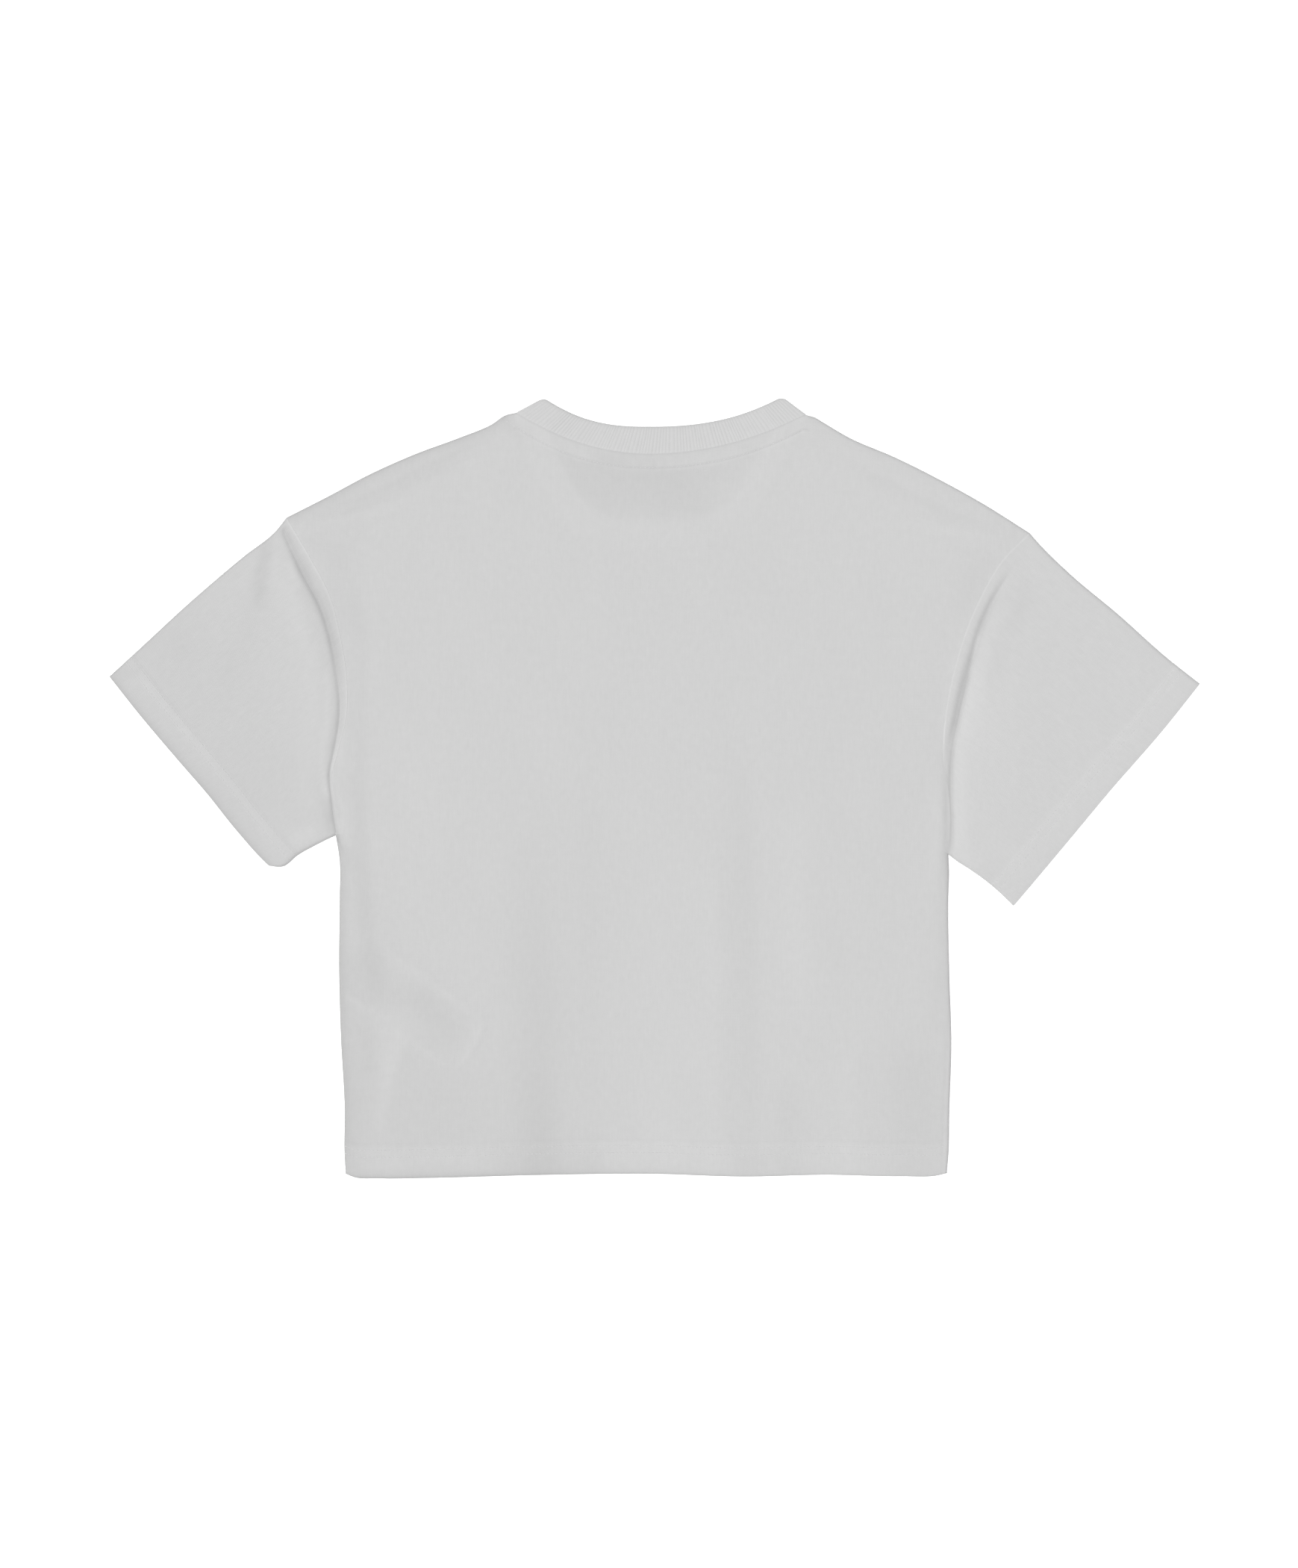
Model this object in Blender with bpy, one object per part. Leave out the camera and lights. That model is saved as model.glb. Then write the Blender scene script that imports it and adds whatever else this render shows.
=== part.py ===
"""A girl's boxy T-shirt in cotton jersey, laid flat on its front: back up, collar at +Y.

Five pieces are cut and sewn: a back, a front, two short sleeves and a neckband of 1 x 1 rib.
The front lies flat on the surface at Z = 0, the back lies on it, and each sleeve and the
neckband is a flattened ring with one layer on the other. Every piece is a wall of cloth with
an outer and an inner surface. Pieces that are sewn together stand SEAM_GAP apart.

Sizes below are in millimetres. X runs across the chest, Y runs up to the collar, and the
origin is at the middle of the garment's box, on the surface that it lies on.
"""

from collections import namedtuple

import bpy
import numpy as np

MM = 0.001

# --- cloth --------------------------------------------------------------------------------
WALL = 1.0  # wall of the jersey
RIB_WALL = 1.2  # wall of the doubled rib
LAYER_GAP = 0.3  # between two layers that lie on each other
SEAM_GAP = 0.3  # between two pieces that are sewn together
LOFT = 0.7  # how much higher the upper layer lies than it must
LAY_HEIGHT = 2 * WALL + LAYER_GAP + LOFT  # outer face of the upper layer
EDGE_ROUND = 3.0  # reach of the rounding along a folded edge
EDGE_WALL = 0.5  # wall of a panel at its outer edge
SEAM_DIP = 0.35  # how far cloth dips where it is sewn
HEM_DEPTH = 22.5  # turned-up hem of the body
CUFF_DEPTH = 20.5  # turned-up hem of a sleeve
HEM_FADE = 2.5  # how far a turned-up hem's raw edge shows as a slope
TURN_UP = 0.4  # how much thicker each wall is where its hem is turned up

# --- outline ------------------------------------------------------------------------------
Section = namedtuple("Section", "left_x left_y right_x right_y")

# Sections across the body, from the hem up to the underarms.
SIDES = (
    Section(-206.8, -257.6, 195.6, -257.2),
    Section(-207.6, -245.0, 196.6, -245.0),
    Section(-207.5, -215.0, 197.3, -215.0),
    Section(-210.1, -165.0, 198.6, -170.0),
    Section(-211.3, -120.0, 197.3, -125.0),
    Section(-210.9, -75.0, 196.6, -72.0),
    Section(-211.0, -47.0, 197.1, -55.0),
    Section(-213.5, -31.0, 196.6, -43.5),
)
# Sections across the body between the armholes, from the underarms up to the shoulders.
ARMHOLES = (
    Section(-213.5, -31.0, 196.6, -43.5),
    Section(-216.2, -14.0, 198.3, -22.0),
    Section(-217.6, 3.0, 197.2, -2.0),
    Section(-212.5, 25.0, 193.6, 20.0),
    Section(-206.8, 48.0, 194.6, 45.0),
    Section(-206.6, 75.0, 199.6, 74.0),
    Section(-211.0, 103.0, 208.0, 103.0),
    Section(-218.2, 130.0, 219.6, 130.0),
    Section(-230.0, 152.5, 233.0, 152.5),
    Section(-246.8, 181.3, 251.3, 171.0),
)

Place = namedtuple("Place", "x y")

# The lower edge of the hem, between its corners, from left to right.
HEM_EDGE = (
    Place(-206.8, -257.6), Place(-201.0, -259.9), Place(-185.0, -260.7), Place(-150.0, -260.4),
    Place(-80.0, -258.5), Place(0.0, -257.7), Place(60.0, -259.5), Place(115.0, -258.3),
    Place(165.0, -259.3), Place(190.0, -258.6), Place(195.6, -257.2),
)
# Shoulder lines, from the shoulder point to the neck.
SHOULDER_LEFT = (
    Place(-246.8, 181.3), Place(-220.0, 194.9), Place(-190.0, 210.8), Place(-160.0, 224.1),
    Place(-130.0, 235.2), Place(-109.0, 243.9), Place(-99.0, 250.3), Place(-92.7, 251.4),
)
SHOULDER_RIGHT = (
    Place(251.3, 171.0), Place(220.0, 190.7), Place(190.0, 207.3), Place(160.0, 222.2),
    Place(130.0, 235.1), Place(110.5, 246.6), Place(106.0, 249.2), Place(101.0, 250.2),
)

# Sections across each sleeve, from the armhole to the cuff: the overarm, which carries on
# the shoulder line, and the underarm.
SleeveSection = namedtuple("SleeveSection", "over_x over_y under_x under_y")
SLEEVE_LEFT = (
    SleeveSection(-246.8, 181.3, -213.5, -31.0),
    SleeveSection(-254.0, 172.3, -217.0, -32.6),
    SleeveSection(-275.0, 155.6, -227.0, -37.6),
    SleeveSection(-310.0, 125.8, -238.5, -44.0),
    SleeveSection(-345.0, 93.5, -249.5, -52.1),
    SleeveSection(-364.9, 75.2, -258.0, -51.5),
)
SLEEVE_RIGHT = (
    SleeveSection(251.3, 171.0, 196.6, -43.5),
    SleeveSection(258.5, 162.8, 202.0, -47.8),
    SleeveSection(278.0, 143.8, 212.0, -54.4),
    SleeveSection(310.0, 117.0, 223.0, -62.4),
    SleeveSection(345.0, 86.0, 233.0, -71.2),
    SleeveSection(364.9, 70.4, 240.2, -78.3),
)
# Each cuff's edge, between the sleeve's corners, from the overarm to the underarm.
CUFF_LEFT = (
    Place(-364.9, 75.2), Place(-340.0, 44.0), Place(-320.0, 20.5), Place(-300.0, -2.5),
    Place(-280.0, -27.5), Place(-263.4, -46.2), Place(-258.0, -51.5),
)
CUFF_RIGHT = (
    Place(364.9, 70.4), Place(340.0, 39.2), Place(305.0, -1.0), Place(275.0, -37.0),
    Place(240.2, -78.3),
)

# The neck. Each edge of the band is a bow: a low point between two ends.
Bow = namedtuple("Bow", "low_x low_y left_x left_y right_x right_y power")
BACK_SEAM = Bow(-3.0, 223.9, -92.7, 251.4, 101.0, 250.2, 2.0)
BACK_RIM = Bow(-5.0, 242.3, -75.8, 262.5, 86.6, 263.0, 2.45)
FRONT_SEAM = Bow(0.0, 161.0, -92.7, 251.4, 101.0, 250.2, 3.2)
FRONT_RIM = Bow(1.0, 180.5, -75.8, 260.3, 86.6, 260.8, 3.6)
RIM_CORNER = 5.5  # length over which the back rim turns down into the band's folds
RIM_DROP = 2.2  # how far it turns down at its ends
NECK_DROP = 1.2  # how far the back sinks into the front's neck opening
NECK_DROP_REACH = 16.0  # how far it takes to sink
BOW_SAMPLES = 801
SLOPE_STEP = 0.5

# --- neckband rib ---------------------------------------------------------------------------
RIB_COUNT = 86  # ribs on the back half, about 2.4 mm apart
RIB_HEIGHT = 0.4
RIB_RISE = 0.2  # how far the band stands above the panel that it is sewn to
BAND_GAP = 0.4  # between the ribbed band and the back
BAND_EASE = 0.06  # share of the band's width that its eased edges take
BAND_EDGE = 0.4  # how far down its wall the band's edge is eased
EAR_WAY = (1.0, 0.35)  # the way that the band's fold stands out at an end of the neck
EAR_BULGE = 0.6  # how far the fold's outer face stands out
EAR_EDGE = 0.6  # share of the bulge at the fold's two edges
EAR_INSIDE = 0.02  # share of the bulge at its inner face

# --- largest folds ----------------------------------------------------------------------------
# A fold is a soft ridge along a path, or a trough where its height is negative. It fades to
# nothing over the stated length at each of its ends.
Fold = namedtuple("Fold", "name path width height fade")
FOLDS = (
    Fold("drape_left", ((-78, 20), (-76, -120), (-79, -262)), 26, -0.9, 110),
    Fold("drape_right", ((57, 60), (60, -90), (62, -262)), 20, -0.8, 110),
    Fold("drape_middle", ((22, 10), (20, -120), (12, -262)), 28, 0.8, 90),
    Fold("drape_between", ((94, 0), (96, -80), (98, -170)), 20, 0.7, 50),
    Fold("hollow_right", ((177, -140), (174, -262)), 20, -0.7, 50),
    Fold("side_ridge_left", ((-204, 20), (-202, -70), (-197, -128)), 8, 0.9, 30),
    Fold("side_trough_left", ((-194, 20), (-190, -70), (-185, -122)), 8, -0.5, 25),
    Fold("low_ridge_left", ((-165, -155), (-185, -245)), 12, 0.8, 30),
    Fold("imprint_upper", ((-180, -105), (-150, -126), (-116, -154)), 9, 0.7, 16),
    Fold("imprint_lower", ((-176, -158), (-150, -176), (-130, -186)), 9, 0.6, 16),
    Fold("shoulder_trough_left", ((-120, 228), (-200, 190), (-243, 177)), 7, -0.9, 45),
    Fold("shoulder_ridge_left", ((-150, 194), (-200, 181), (-240, 174)), 10, 0.9, 35),
    Fold("shoulder_trough_right", ((125, 223), (200, 187), (246, 170)), 7, -0.9, 45),
    Fold("shoulder_ridge_right", ((165, 184), (205, 172), (244, 168)), 10, 0.9, 30),
    Fold("armhole_roll_left", ((-244, 170), (-220, 122), (-208.5, 62), (-214, 14)), 5, 1.2, 30),
    Fold("armhole_valley_left", ((-246, 168), (-230, 135), (-219, 104), (-212, 58), (-217, 20),
                                 (-213, -34)), 4.5, -1.8, 12),
    Fold("sleeve_ridge_left", ((-255, 165), (-232, 110), (-222, 48), (-228, -25)), 10, 1.5, 25),
    Fold("body_edge_left", ((-212, 16), (-211, -12), (-209, -40)), 7, 1.1, 18),
    Fold("armhole_roll_right", ((240, 158), (214, 108), (197.5, 46), (195, 18)), 5, 1.2, 30),
    Fold("armhole_valley_right", ((237, 146), (221, 117), (205, 70), (198, 30), (197.5, -5),
                                  (197, -50)), 4.5, -1.8, 20),
    Fold("sleeve_ridge_right", ((250, 145), (224, 95), (209, 35), (208, -60)), 10, 1.5, 30),
    Fold("body_edge_right", ((192, 12), (192, -18), (191, -50)), 7, 1.1, 18),
)

# --- grid -----------------------------------------------------------------------------------
# Where the lines of a panel's grid lie, as shares of the way along the edge.
SIDE_LINES = (0.0, 0.008, 0.03, 0.06, 0.096, 0.108, 0.17, 0.25, 0.33, 0.41, 0.49, 0.57, 0.65,
              0.73, 0.81, 0.88, 0.94, 1.0)
ARMHOLE_LINES = (0.0, 0.012, 0.05, 0.11, 0.18, 0.25, 0.32, 0.39, 0.46, 0.53, 0.60, 0.67, 0.74,
                 0.81, 0.88, 0.94, 0.988, 1.0)
SHOULDER_LINES = (0.0, 0.012, 0.05, 0.12, 0.24, 0.38, 0.52, 0.68, 0.84, 1.0)
SLEEVE_LINES = (0.0, 0.016, 0.032, 0.048, 0.066, 0.09, 0.12, 0.17, 0.25, 0.36, 0.48, 0.61, 0.74,
                0.845, 0.87, 0.985, 1.0)
NECK_CELLS = 16
NECK_SHARE = (0.275, 0.772)  # where the neck's corners come on a panel's width
SIDE_FADE = 5  # how fast a panel's grid stops following its sides, so that it stays upright
FRONT_SHOULDER_LINES = (0.0, 0.05, 0.2, 0.45, 0.72, 1.0)

# --- looks ----------------------------------------------------------------------------------
JERSEY = (0.66, 0.655, 0.645)
RIB = (0.65, 0.645, 0.635)
CLOTH_ROUGHNESS = 0.92
SHARP_ANGLE = 40  # degrees between two faces, from which their edge is drawn sharp


def pairs(rows, first, second):
    """Two columns of a table as an array of points."""
    return np.array([(getattr(row, first), getattr(row, second)) for row in rows])


def curve(points, shares):
    """Points at the given shares of a smooth curve's length, one that passes through points.

    It is a cubic between each two points, with its slope at a point taken from the chord
    between that point's neighbours.
    """
    points = np.asarray(points, float)
    along = np.concatenate([[0], np.cumsum(np.linalg.norm(np.diff(points, axis=0), axis=1))])
    slope = np.gradient(points, along, axis=0)
    at = np.asarray(shares) * along[-1]
    i = np.clip(np.searchsorted(along, at, side="right") - 1, 0, len(points) - 2)
    step = (along[i + 1] - along[i])[:, None]
    q = (at - along[i])[:, None] / step
    start, end = points[i], points[i + 1]
    return (
        (1 + 2 * q) * (1 - q) ** 2 * start
        + q * (1 - q) ** 2 * step * slope[i]
        + q ** 2 * (3 - 2 * q) * end
        + q ** 2 * (q - 1) * step * slope[i + 1]
    )


def bow_height(bow, x):
    """Height of a bow at x: the low point plus the rise to the end, times the share of the
    way to that end raised to the bow's power."""
    left = x < bow.low_x
    reach = np.where(left, bow.low_x - bow.left_x, bow.right_x - bow.low_x)
    rise = np.where(left, bow.left_y, bow.right_y) - bow.low_y
    return bow.low_y + rise * (np.abs(x - bow.low_x) / reach) ** bow.power


def bow_points(bow, shares):
    """Points on a bow at the given shares of its length, from its left end to its right."""
    x = np.linspace(bow.left_x, bow.right_x, BOW_SAMPLES)
    fine = np.stack([x, bow_height(bow, x)], axis=1)
    along = np.concatenate([[0], np.cumsum(np.linalg.norm(np.diff(fine, axis=0), axis=1))])
    at = np.asarray(shares) * along[-1]
    return np.stack([np.interp(at, along, fine[:, 0]), np.interp(at, along, fine[:, 1])], axis=1)


def rim_points(shares):
    """Points on the back rim: a bow whose ends turn down, by the drop times the square of
    the share of the corner that is left to go."""
    points = bow_points(BACK_RIM, shares)
    to_end = np.minimum(*(np.linalg.norm(points - points[end], axis=1) for end in (0, -1)))
    drop = RIM_DROP * np.clip(1 - to_end / RIM_CORNER, 0, 1) ** 2
    return points - np.stack([np.zeros(len(drop)), drop], axis=1)


def moved_out(points, distance):
    """Each point moved to the left of its way along the curve."""
    way = np.gradient(points, axis=0)
    way /= np.linalg.norm(way, axis=1)[:, None]
    return points + distance * np.stack([-way[:, 1], way[:, 0]], axis=1)


def patch(bottom, top, left, right, u, v, fade=1):
    """A Coons patch: the surface in the plane between four edges, by its lines u and v.

    It is the blend of bottom and top, plus the blend of left and right, less the blend of
    the four corners. left and right count by the share of the way to them, to the power
    fade: the higher it is, the less the lines in the middle follow a bent side.
    """
    near_left, near_right = ((share ** fade)[None, :, None] for share in (1 - u, u))
    v = v[:, None, None]
    between = (1 - v) * bottom[None] + v * top[None]
    across = near_left * left[:, None] + near_right * right[:, None]
    corners = (
        near_left * ((1 - v) * bottom[0] + v * top[0])
        + near_right * ((1 - v) * bottom[-1] + v * top[-1])
    )
    return between + across - corners


def smooth_step(q):
    """0 below 0, 1 above 1, and 3 q^2 - 2 q^3 between."""
    q = np.clip(q, 0, 1)
    return q * q * (3 - 2 * q)


def rounding(distance):
    """A quarter ellipse: 0 at the edge and 1 from EDGE_ROUND inwards."""
    q = np.clip(distance / EDGE_ROUND, 0, 1)
    return np.sqrt(1 - (1 - q) ** 2)


def turned_up(distance, depth):
    """What a hem of this depth adds to a wall, by the distance from its edge."""
    return TURN_UP * (1 - smooth_step((distance - depth) / HEM_FADE + 0.5))


def fold_height(fold, x, y):
    """Height of one fold at each point: a bell of the distance from its path, which fades
    towards both ends of the path."""
    path = np.asarray(fold.path, float)
    lengths = np.linalg.norm(np.diff(path, axis=0), axis=1)
    nearest = np.full(np.shape(x), np.inf)
    along = np.zeros(np.shape(x))
    for i, length in enumerate(lengths):
        way = (path[i + 1] - path[i]) / length
        forward = np.clip((x - path[i, 0]) * way[0] + (y - path[i, 1]) * way[1], 0, length)
        aside = np.hypot(x - path[i, 0] - forward * way[0], y - path[i, 1] - forward * way[1])
        along = np.where(aside < nearest, lengths[:i].sum() + forward, along)
        nearest = np.minimum(nearest, aside)
    to_end = np.minimum(along, lengths.sum() - along)
    return fold.height * np.exp(-((nearest / fold.width) ** 2)) * smooth_step(to_end / fold.fade)


def over_neck(x, y):
    """1 where the back lies over the front's neck opening, falling to 0 across its rim."""
    x_in = np.clip(x, FRONT_RIM.left_x, FRONT_RIM.right_x)
    ahead, behind = (bow_height(FRONT_RIM, x_in + step) for step in (SLOPE_STEP, -SLOPE_STEP))
    slope = (ahead - behind) / (2 * SLOPE_STEP)
    inside = (y - bow_height(FRONT_RIM, x_in)) / np.sqrt(1 + slope ** 2)
    return smooth_step(inside / NECK_DROP_REACH) * (x == x_in)


def lay_height(x, y, dip=0.0):
    """Height of the upper layer's outer face: the cloth lies level, with its folds, dips at
    its seams, never sinks into the layer below, and sinks into the front's neck opening."""
    folds = sum(fold_height(fold, x, y) for fold in FOLDS)
    resting = np.maximum(LAY_HEIGHT + folds - dip, 2 * WALL + LAYER_GAP)
    return resting - NECK_DROP * over_neck(x, y)


def plan_distance(points, edge):
    """Distance in the plane from each grid point to the point of the edge on its line."""
    return np.linalg.norm(points - edge, axis=-1)


def new_object(name, points, faces, colour):
    """A mesh object with its own material, its points given in millimetres."""
    mesh = bpy.data.meshes.new(name)
    mesh.from_pydata((np.asarray(points) * MM).tolist(), [], faces)
    mesh.shade_smooth()
    mesh.set_sharp_from_angle(angle=np.radians(SHARP_ANGLE))
    material = bpy.data.materials.new(name + "_cloth")
    material.use_nodes = True
    shader = material.node_tree.nodes["Principled BSDF"]
    shader.inputs["Base Color"].default_value = (*colour, 1.0)
    shader.inputs["Roughness"].default_value = CLOTH_ROUGHNESS
    shader.inputs["Metallic"].default_value = 0.0
    mesh.materials.append(material)
    obj = bpy.data.objects.new(name, mesh)
    shirt.objects.link(obj)
    return obj


def panel_object(name, outer, inner):
    """A panel's wall: its outer and inner grid of points, closed round their edges."""
    rows, columns = outer.shape[:2]
    index = np.arange(rows * columns).reshape(rows, columns)
    a, b, c, d = index[:-1, :-1], index[:-1, 1:], index[1:, 1:], index[1:, :-1]
    up = np.stack([a, b, c, d], axis=-1).reshape(-1, 4)
    under = up[:, ::-1] + rows * columns
    rim = np.concatenate([index[0, :-1], index[:-1, -1], index[-1, :0:-1], index[:0:-1, 0]])
    after = np.roll(rim, -1)
    round_edge = np.stack([rim, rim + rows * columns, after + rows * columns, after], axis=-1)
    faces = np.concatenate([up, under, round_edge]).tolist()
    points = np.concatenate([outer.reshape(-1, 3), inner.reshape(-1, 3)])
    return new_object(name, points, faces, JERSEY)


def ring_object(name, sections, colour):
    """Sections of equal count, each a closed loop of points, joined one to the next and the
    last to the first. sections has the shape (sections, points, 3)."""
    count, around = sections.shape[:2]
    start = np.arange(count * around).reshape(count, around)
    end = np.roll(start, -1, axis=0)
    faces = np.stack([start, np.roll(start, -1, 1), np.roll(end, -1, 1), end], axis=-1)
    return new_object(name, sections.reshape(-1, 3), faces.reshape(-1, 4).tolist(), colour)


def raised(plan, height):
    """Points in the plane with their heights."""
    return np.concatenate([plan, np.asarray(height)[..., None]], axis=-1)


def body_lines(sections, lines, side):
    """One side's edge through its sections, at the shares of its length that lines gives."""
    return curve(pairs(sections, side + "_x", side + "_y"), lines)


def body_plan(seam, shoulder_lines):
    """Grid of a body panel in the plane, with its lines across and up, and its armholes.

    The lower edge is the hem. The upper edge is a shoulder, the neck seam and the other
    shoulder, and the neck seam is the only thing that a back and a front differ in.
    """
    shoulder = np.asarray(shoulder_lines)
    neck = np.linspace(0, 1, NECK_CELLS + 1)
    first, last = NECK_SHARE
    u = np.concatenate([
        shoulder * first, (first + neck * (last - first))[1:-1], 1 - (shoulder * (1 - last))[::-1],
    ])
    top = np.concatenate([
        curve(SHOULDER_LEFT, shoulder), bow_points(seam, neck)[1:-1],
        curve(SHOULDER_RIGHT, shoulder)[::-1],
    ])
    hem = curve(HEM_EDGE, u)
    side, armhole = np.asarray(SIDE_LINES), np.asarray(ARMHOLE_LINES)
    v = np.concatenate([side * 0.5, 0.5 + armhole[1:] * 0.5])
    left, right = (
        np.concatenate([body_lines(SIDES, side, name), body_lines(ARMHOLES, armhole, name)[1:]])
        for name in ("left", "right")
    )
    return patch(hem, top, left, right, u, v, SIDE_FADE), len(side), len(shoulder)


def edge_distances(plan, side_rows, shoulder_columns):
    """Distance of each grid point from the panel's folded or outer edges and from its seams."""
    rows, columns = plan.shape[:2]
    left, right = plan_distance(plan, plan[:, :1]), plan_distance(plan, plan[:, -1:])
    below, above = plan_distance(plan, plan[:1]), plan_distance(plan, plan[-1:])
    at_side = (np.arange(rows) < side_rows)[:, None]
    at_shoulder = np.minimum(np.arange(columns), np.arange(columns)[::-1]) < shoulder_columns
    beside = np.minimum(left, right)
    outer = np.minimum(
        np.where(at_side, beside, np.inf), np.where(at_shoulder[None], above, np.inf))
    seams = np.minimum(
        np.where(at_side, np.inf, beside), np.where(at_shoulder[None], np.inf, above))
    return np.minimum(outer, below), seams, below


def back_panel():
    """The back: on top, with every fold, its edges rounded down to the front's."""
    plan, side_rows, shoulder_columns = body_plan(BACK_SEAM, SHOULDER_LINES)
    outer_edge, seams, from_hem = edge_distances(plan, side_rows, shoulder_columns)
    hem = turned_up(from_hem, HEM_DEPTH)
    rest = WALL + hem + LAYER_GAP
    dip = SEAM_DIP * (1 - rounding(seams))
    height = lay_height(plan[..., 0], plan[..., 1], dip) + 2 * hem
    full = rounding(outer_edge)
    top = rest + EDGE_WALL + (height - rest - EDGE_WALL) * full
    under = rest + (height - WALL - hem - rest) * full
    return panel_object("back_panel", raised(plan, top), raised(plan, under))


def front_panel():
    """The front: it lies flat on the surface, and only its outer edge turns up a little."""
    plan, side_rows, shoulder_columns = body_plan(FRONT_SEAM, FRONT_SHOULDER_LINES)
    outer_edge, _, from_hem = edge_distances(plan, side_rows, shoulder_columns)
    top = WALL + turned_up(from_hem, HEM_DEPTH)
    under = (WALL - EDGE_WALL) * (1 - rounding(outer_edge))
    return panel_object("front_panel", raised(plan, top), raised(plan, under))


def sleeve(name, sections, cuff, side, out):
    """A sleeve: a flattened tube, from the armhole to the cuff.

    Each section runs over the top layer from overarm to underarm and back under it. Its
    outer and inner points make one wall. out is the side that the sleeve points to.
    """
    across = np.asarray(ARMHOLE_LINES)
    along = np.asarray(SLEEVE_LINES)
    armhole = body_lines(ARMHOLES, across, side)
    armhole = moved_out(armhole, -out * SEAM_GAP)[::-1]
    across = 1 - across[::-1]
    over = curve(pairs(sections, "over_x", "over_y"), along)
    under = curve(pairs(sections, "under_x", "under_y"), along)
    over += (armhole[0] - over[0]) * (1 - along[:, None])
    under += (armhole[-1] - under[0]) * (1 - along[:, None])
    edge = curve(cuff, across)
    outer = patch(armhole, edge, over, under, across, along)
    width = np.linalg.norm(over - under, axis=1)[:, None]
    inset = WALL / width
    share = inset + (1 - 2 * inset) * across[None]
    inner = np.empty_like(outer)
    for row in range(len(along)):
        for axis in range(2):
            inner[row, :, axis] = np.interp(share[row], across, outer[row, :, axis])

    layers = []
    for plan, is_inner in ((outer, False), (inner, True)):
        hem = turned_up(plan_distance(plan, outer[-1:]), CUFF_DEPTH)
        wall = is_inner * (WALL + hem)
        dip = SEAM_DIP * (1 - rounding(plan_distance(plan, outer[:1])))
        height = lay_height(plan[..., 0], plan[..., 1], dip) + 2 * hem
        beside = np.minimum(plan_distance(plan, plan[:, :1]), plan_distance(plan, plan[:, -1:]))
        full = rounding(beside)
        middle = height / 2
        top = middle + (height - wall - middle) * full
        bottom = middle - (middle - wall) * full
        loop = np.concatenate([raised(plan, top), raised(plan, bottom)[:, -2:0:-1]], axis=1)
        layers.append(loop)
    # The wall's own loop runs out along the tube on its outer face and back on its inner one.
    outside, inside = layers
    wall_loop = np.concatenate([outside, inside[::-1]], axis=0).transpose(1, 0, 2)
    if out > 0:
        wall_loop = wall_loop[::-1]
    return ring_object(name, wall_loop, JERSEY)


def neckband():
    """The rib ring: its back half on top, folded at each end of the neck to its front half,
    which lies flat on the surface under the back."""
    back_shares = np.linspace(0, 1, 2 * RIB_COUNT + 1)
    front_shares = np.linspace(0, 1, NECK_CELLS + 1)
    back_seam = moved_out(bow_points(BACK_SEAM, back_shares), BAND_GAP)
    back_rim = rim_points(back_shares)
    front_seam = moved_out(bow_points(FRONT_SEAM, front_shares), SEAM_GAP)
    front_rim = bow_points(FRONT_RIM, front_shares)
    for front, back in ((front_seam, back_seam), (front_rim, back_rim)):
        front[0], front[-1] = back[0], back[-1]

    level = lay_height(back_seam[:, 0], back_seam[:, 1]) + RIB_RISE
    ribs = RIB_HEIGHT * (np.arange(len(back_shares)) % 2)
    ribs[-1] = 0
    sections = [band_section(*column) for column
                in zip(back_seam, back_rim, level + ribs, level - RIB_WALL, level)]
    sections.append(ear_section(back_seam[-1], back_rim[-1], 1, level[-1] / 2))
    sections += [band_section(seam, rim, 0.0, RIB_WALL, 0.0) for seam, rim
                 in zip(front_seam[::-1], front_rim[::-1])]
    sections.append(ear_section(back_seam[0], back_rim[0], -1, level[0] / 2))
    return ring_object("neckband", np.array(sections)[::-1], RIB)


def band_section(seam, rim, outer, inner, face):
    """One section across the band, from the seam to the rim: two corners on the plain inner
    side, and an outer side that rises from the band's face to outer between eased edges."""
    eased = face + BAND_EDGE * (inner - face)
    spots = ((0, inner), (0, eased), (BAND_EASE, outer), (1 - BAND_EASE, outer), (1, eased),
             (1, inner))
    return [(*(seam + share * (rim - seam)), height) for share, height in spots]


def ear_section(seam, rim, side, middle):
    """The section at the band's fold: its outer points stand out, its inner ones hardly."""
    way = np.array([side * EAR_WAY[0], EAR_WAY[1]]) * EAR_BULGE
    spots = ((0, EAR_INSIDE), (0, EAR_EDGE), (BAND_EASE, 1.0), (1 - BAND_EASE, 1.0),
             (1, EAR_EDGE), (1, EAR_INSIDE))
    return [(*(seam + share * (rim - seam) + out * way), middle) for share, out in spots]


for old in list(bpy.data.objects):
    bpy.data.objects.remove(old)
shirt = bpy.data.collections.new("t_shirt")
bpy.context.scene.collection.children.link(shirt)

front_panel()
back_panel()
sleeve("sleeve_left", SLEEVE_LEFT, CUFF_LEFT, "left", -1)
sleeve("sleeve_right", SLEEVE_RIGHT, CUFF_RIGHT, "right", 1)
neckband()
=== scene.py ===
# %% [markdown]
# # A cotton T-shirt, laid flat
#
# This script dresses the solids of a girl's boxy T-shirt. It lies on its front with its back
# up, as a shop lays a garment out to photograph it from straight above.
#
# The solids already have the garment's shape. What they lack is what cloth shows from close
# by: the soft creases, the rib of the neckband, the twin rows of stitches along the hems, and
# the knit itself. Each cell below adds one of these, and says how it is on the real shirt.

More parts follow.
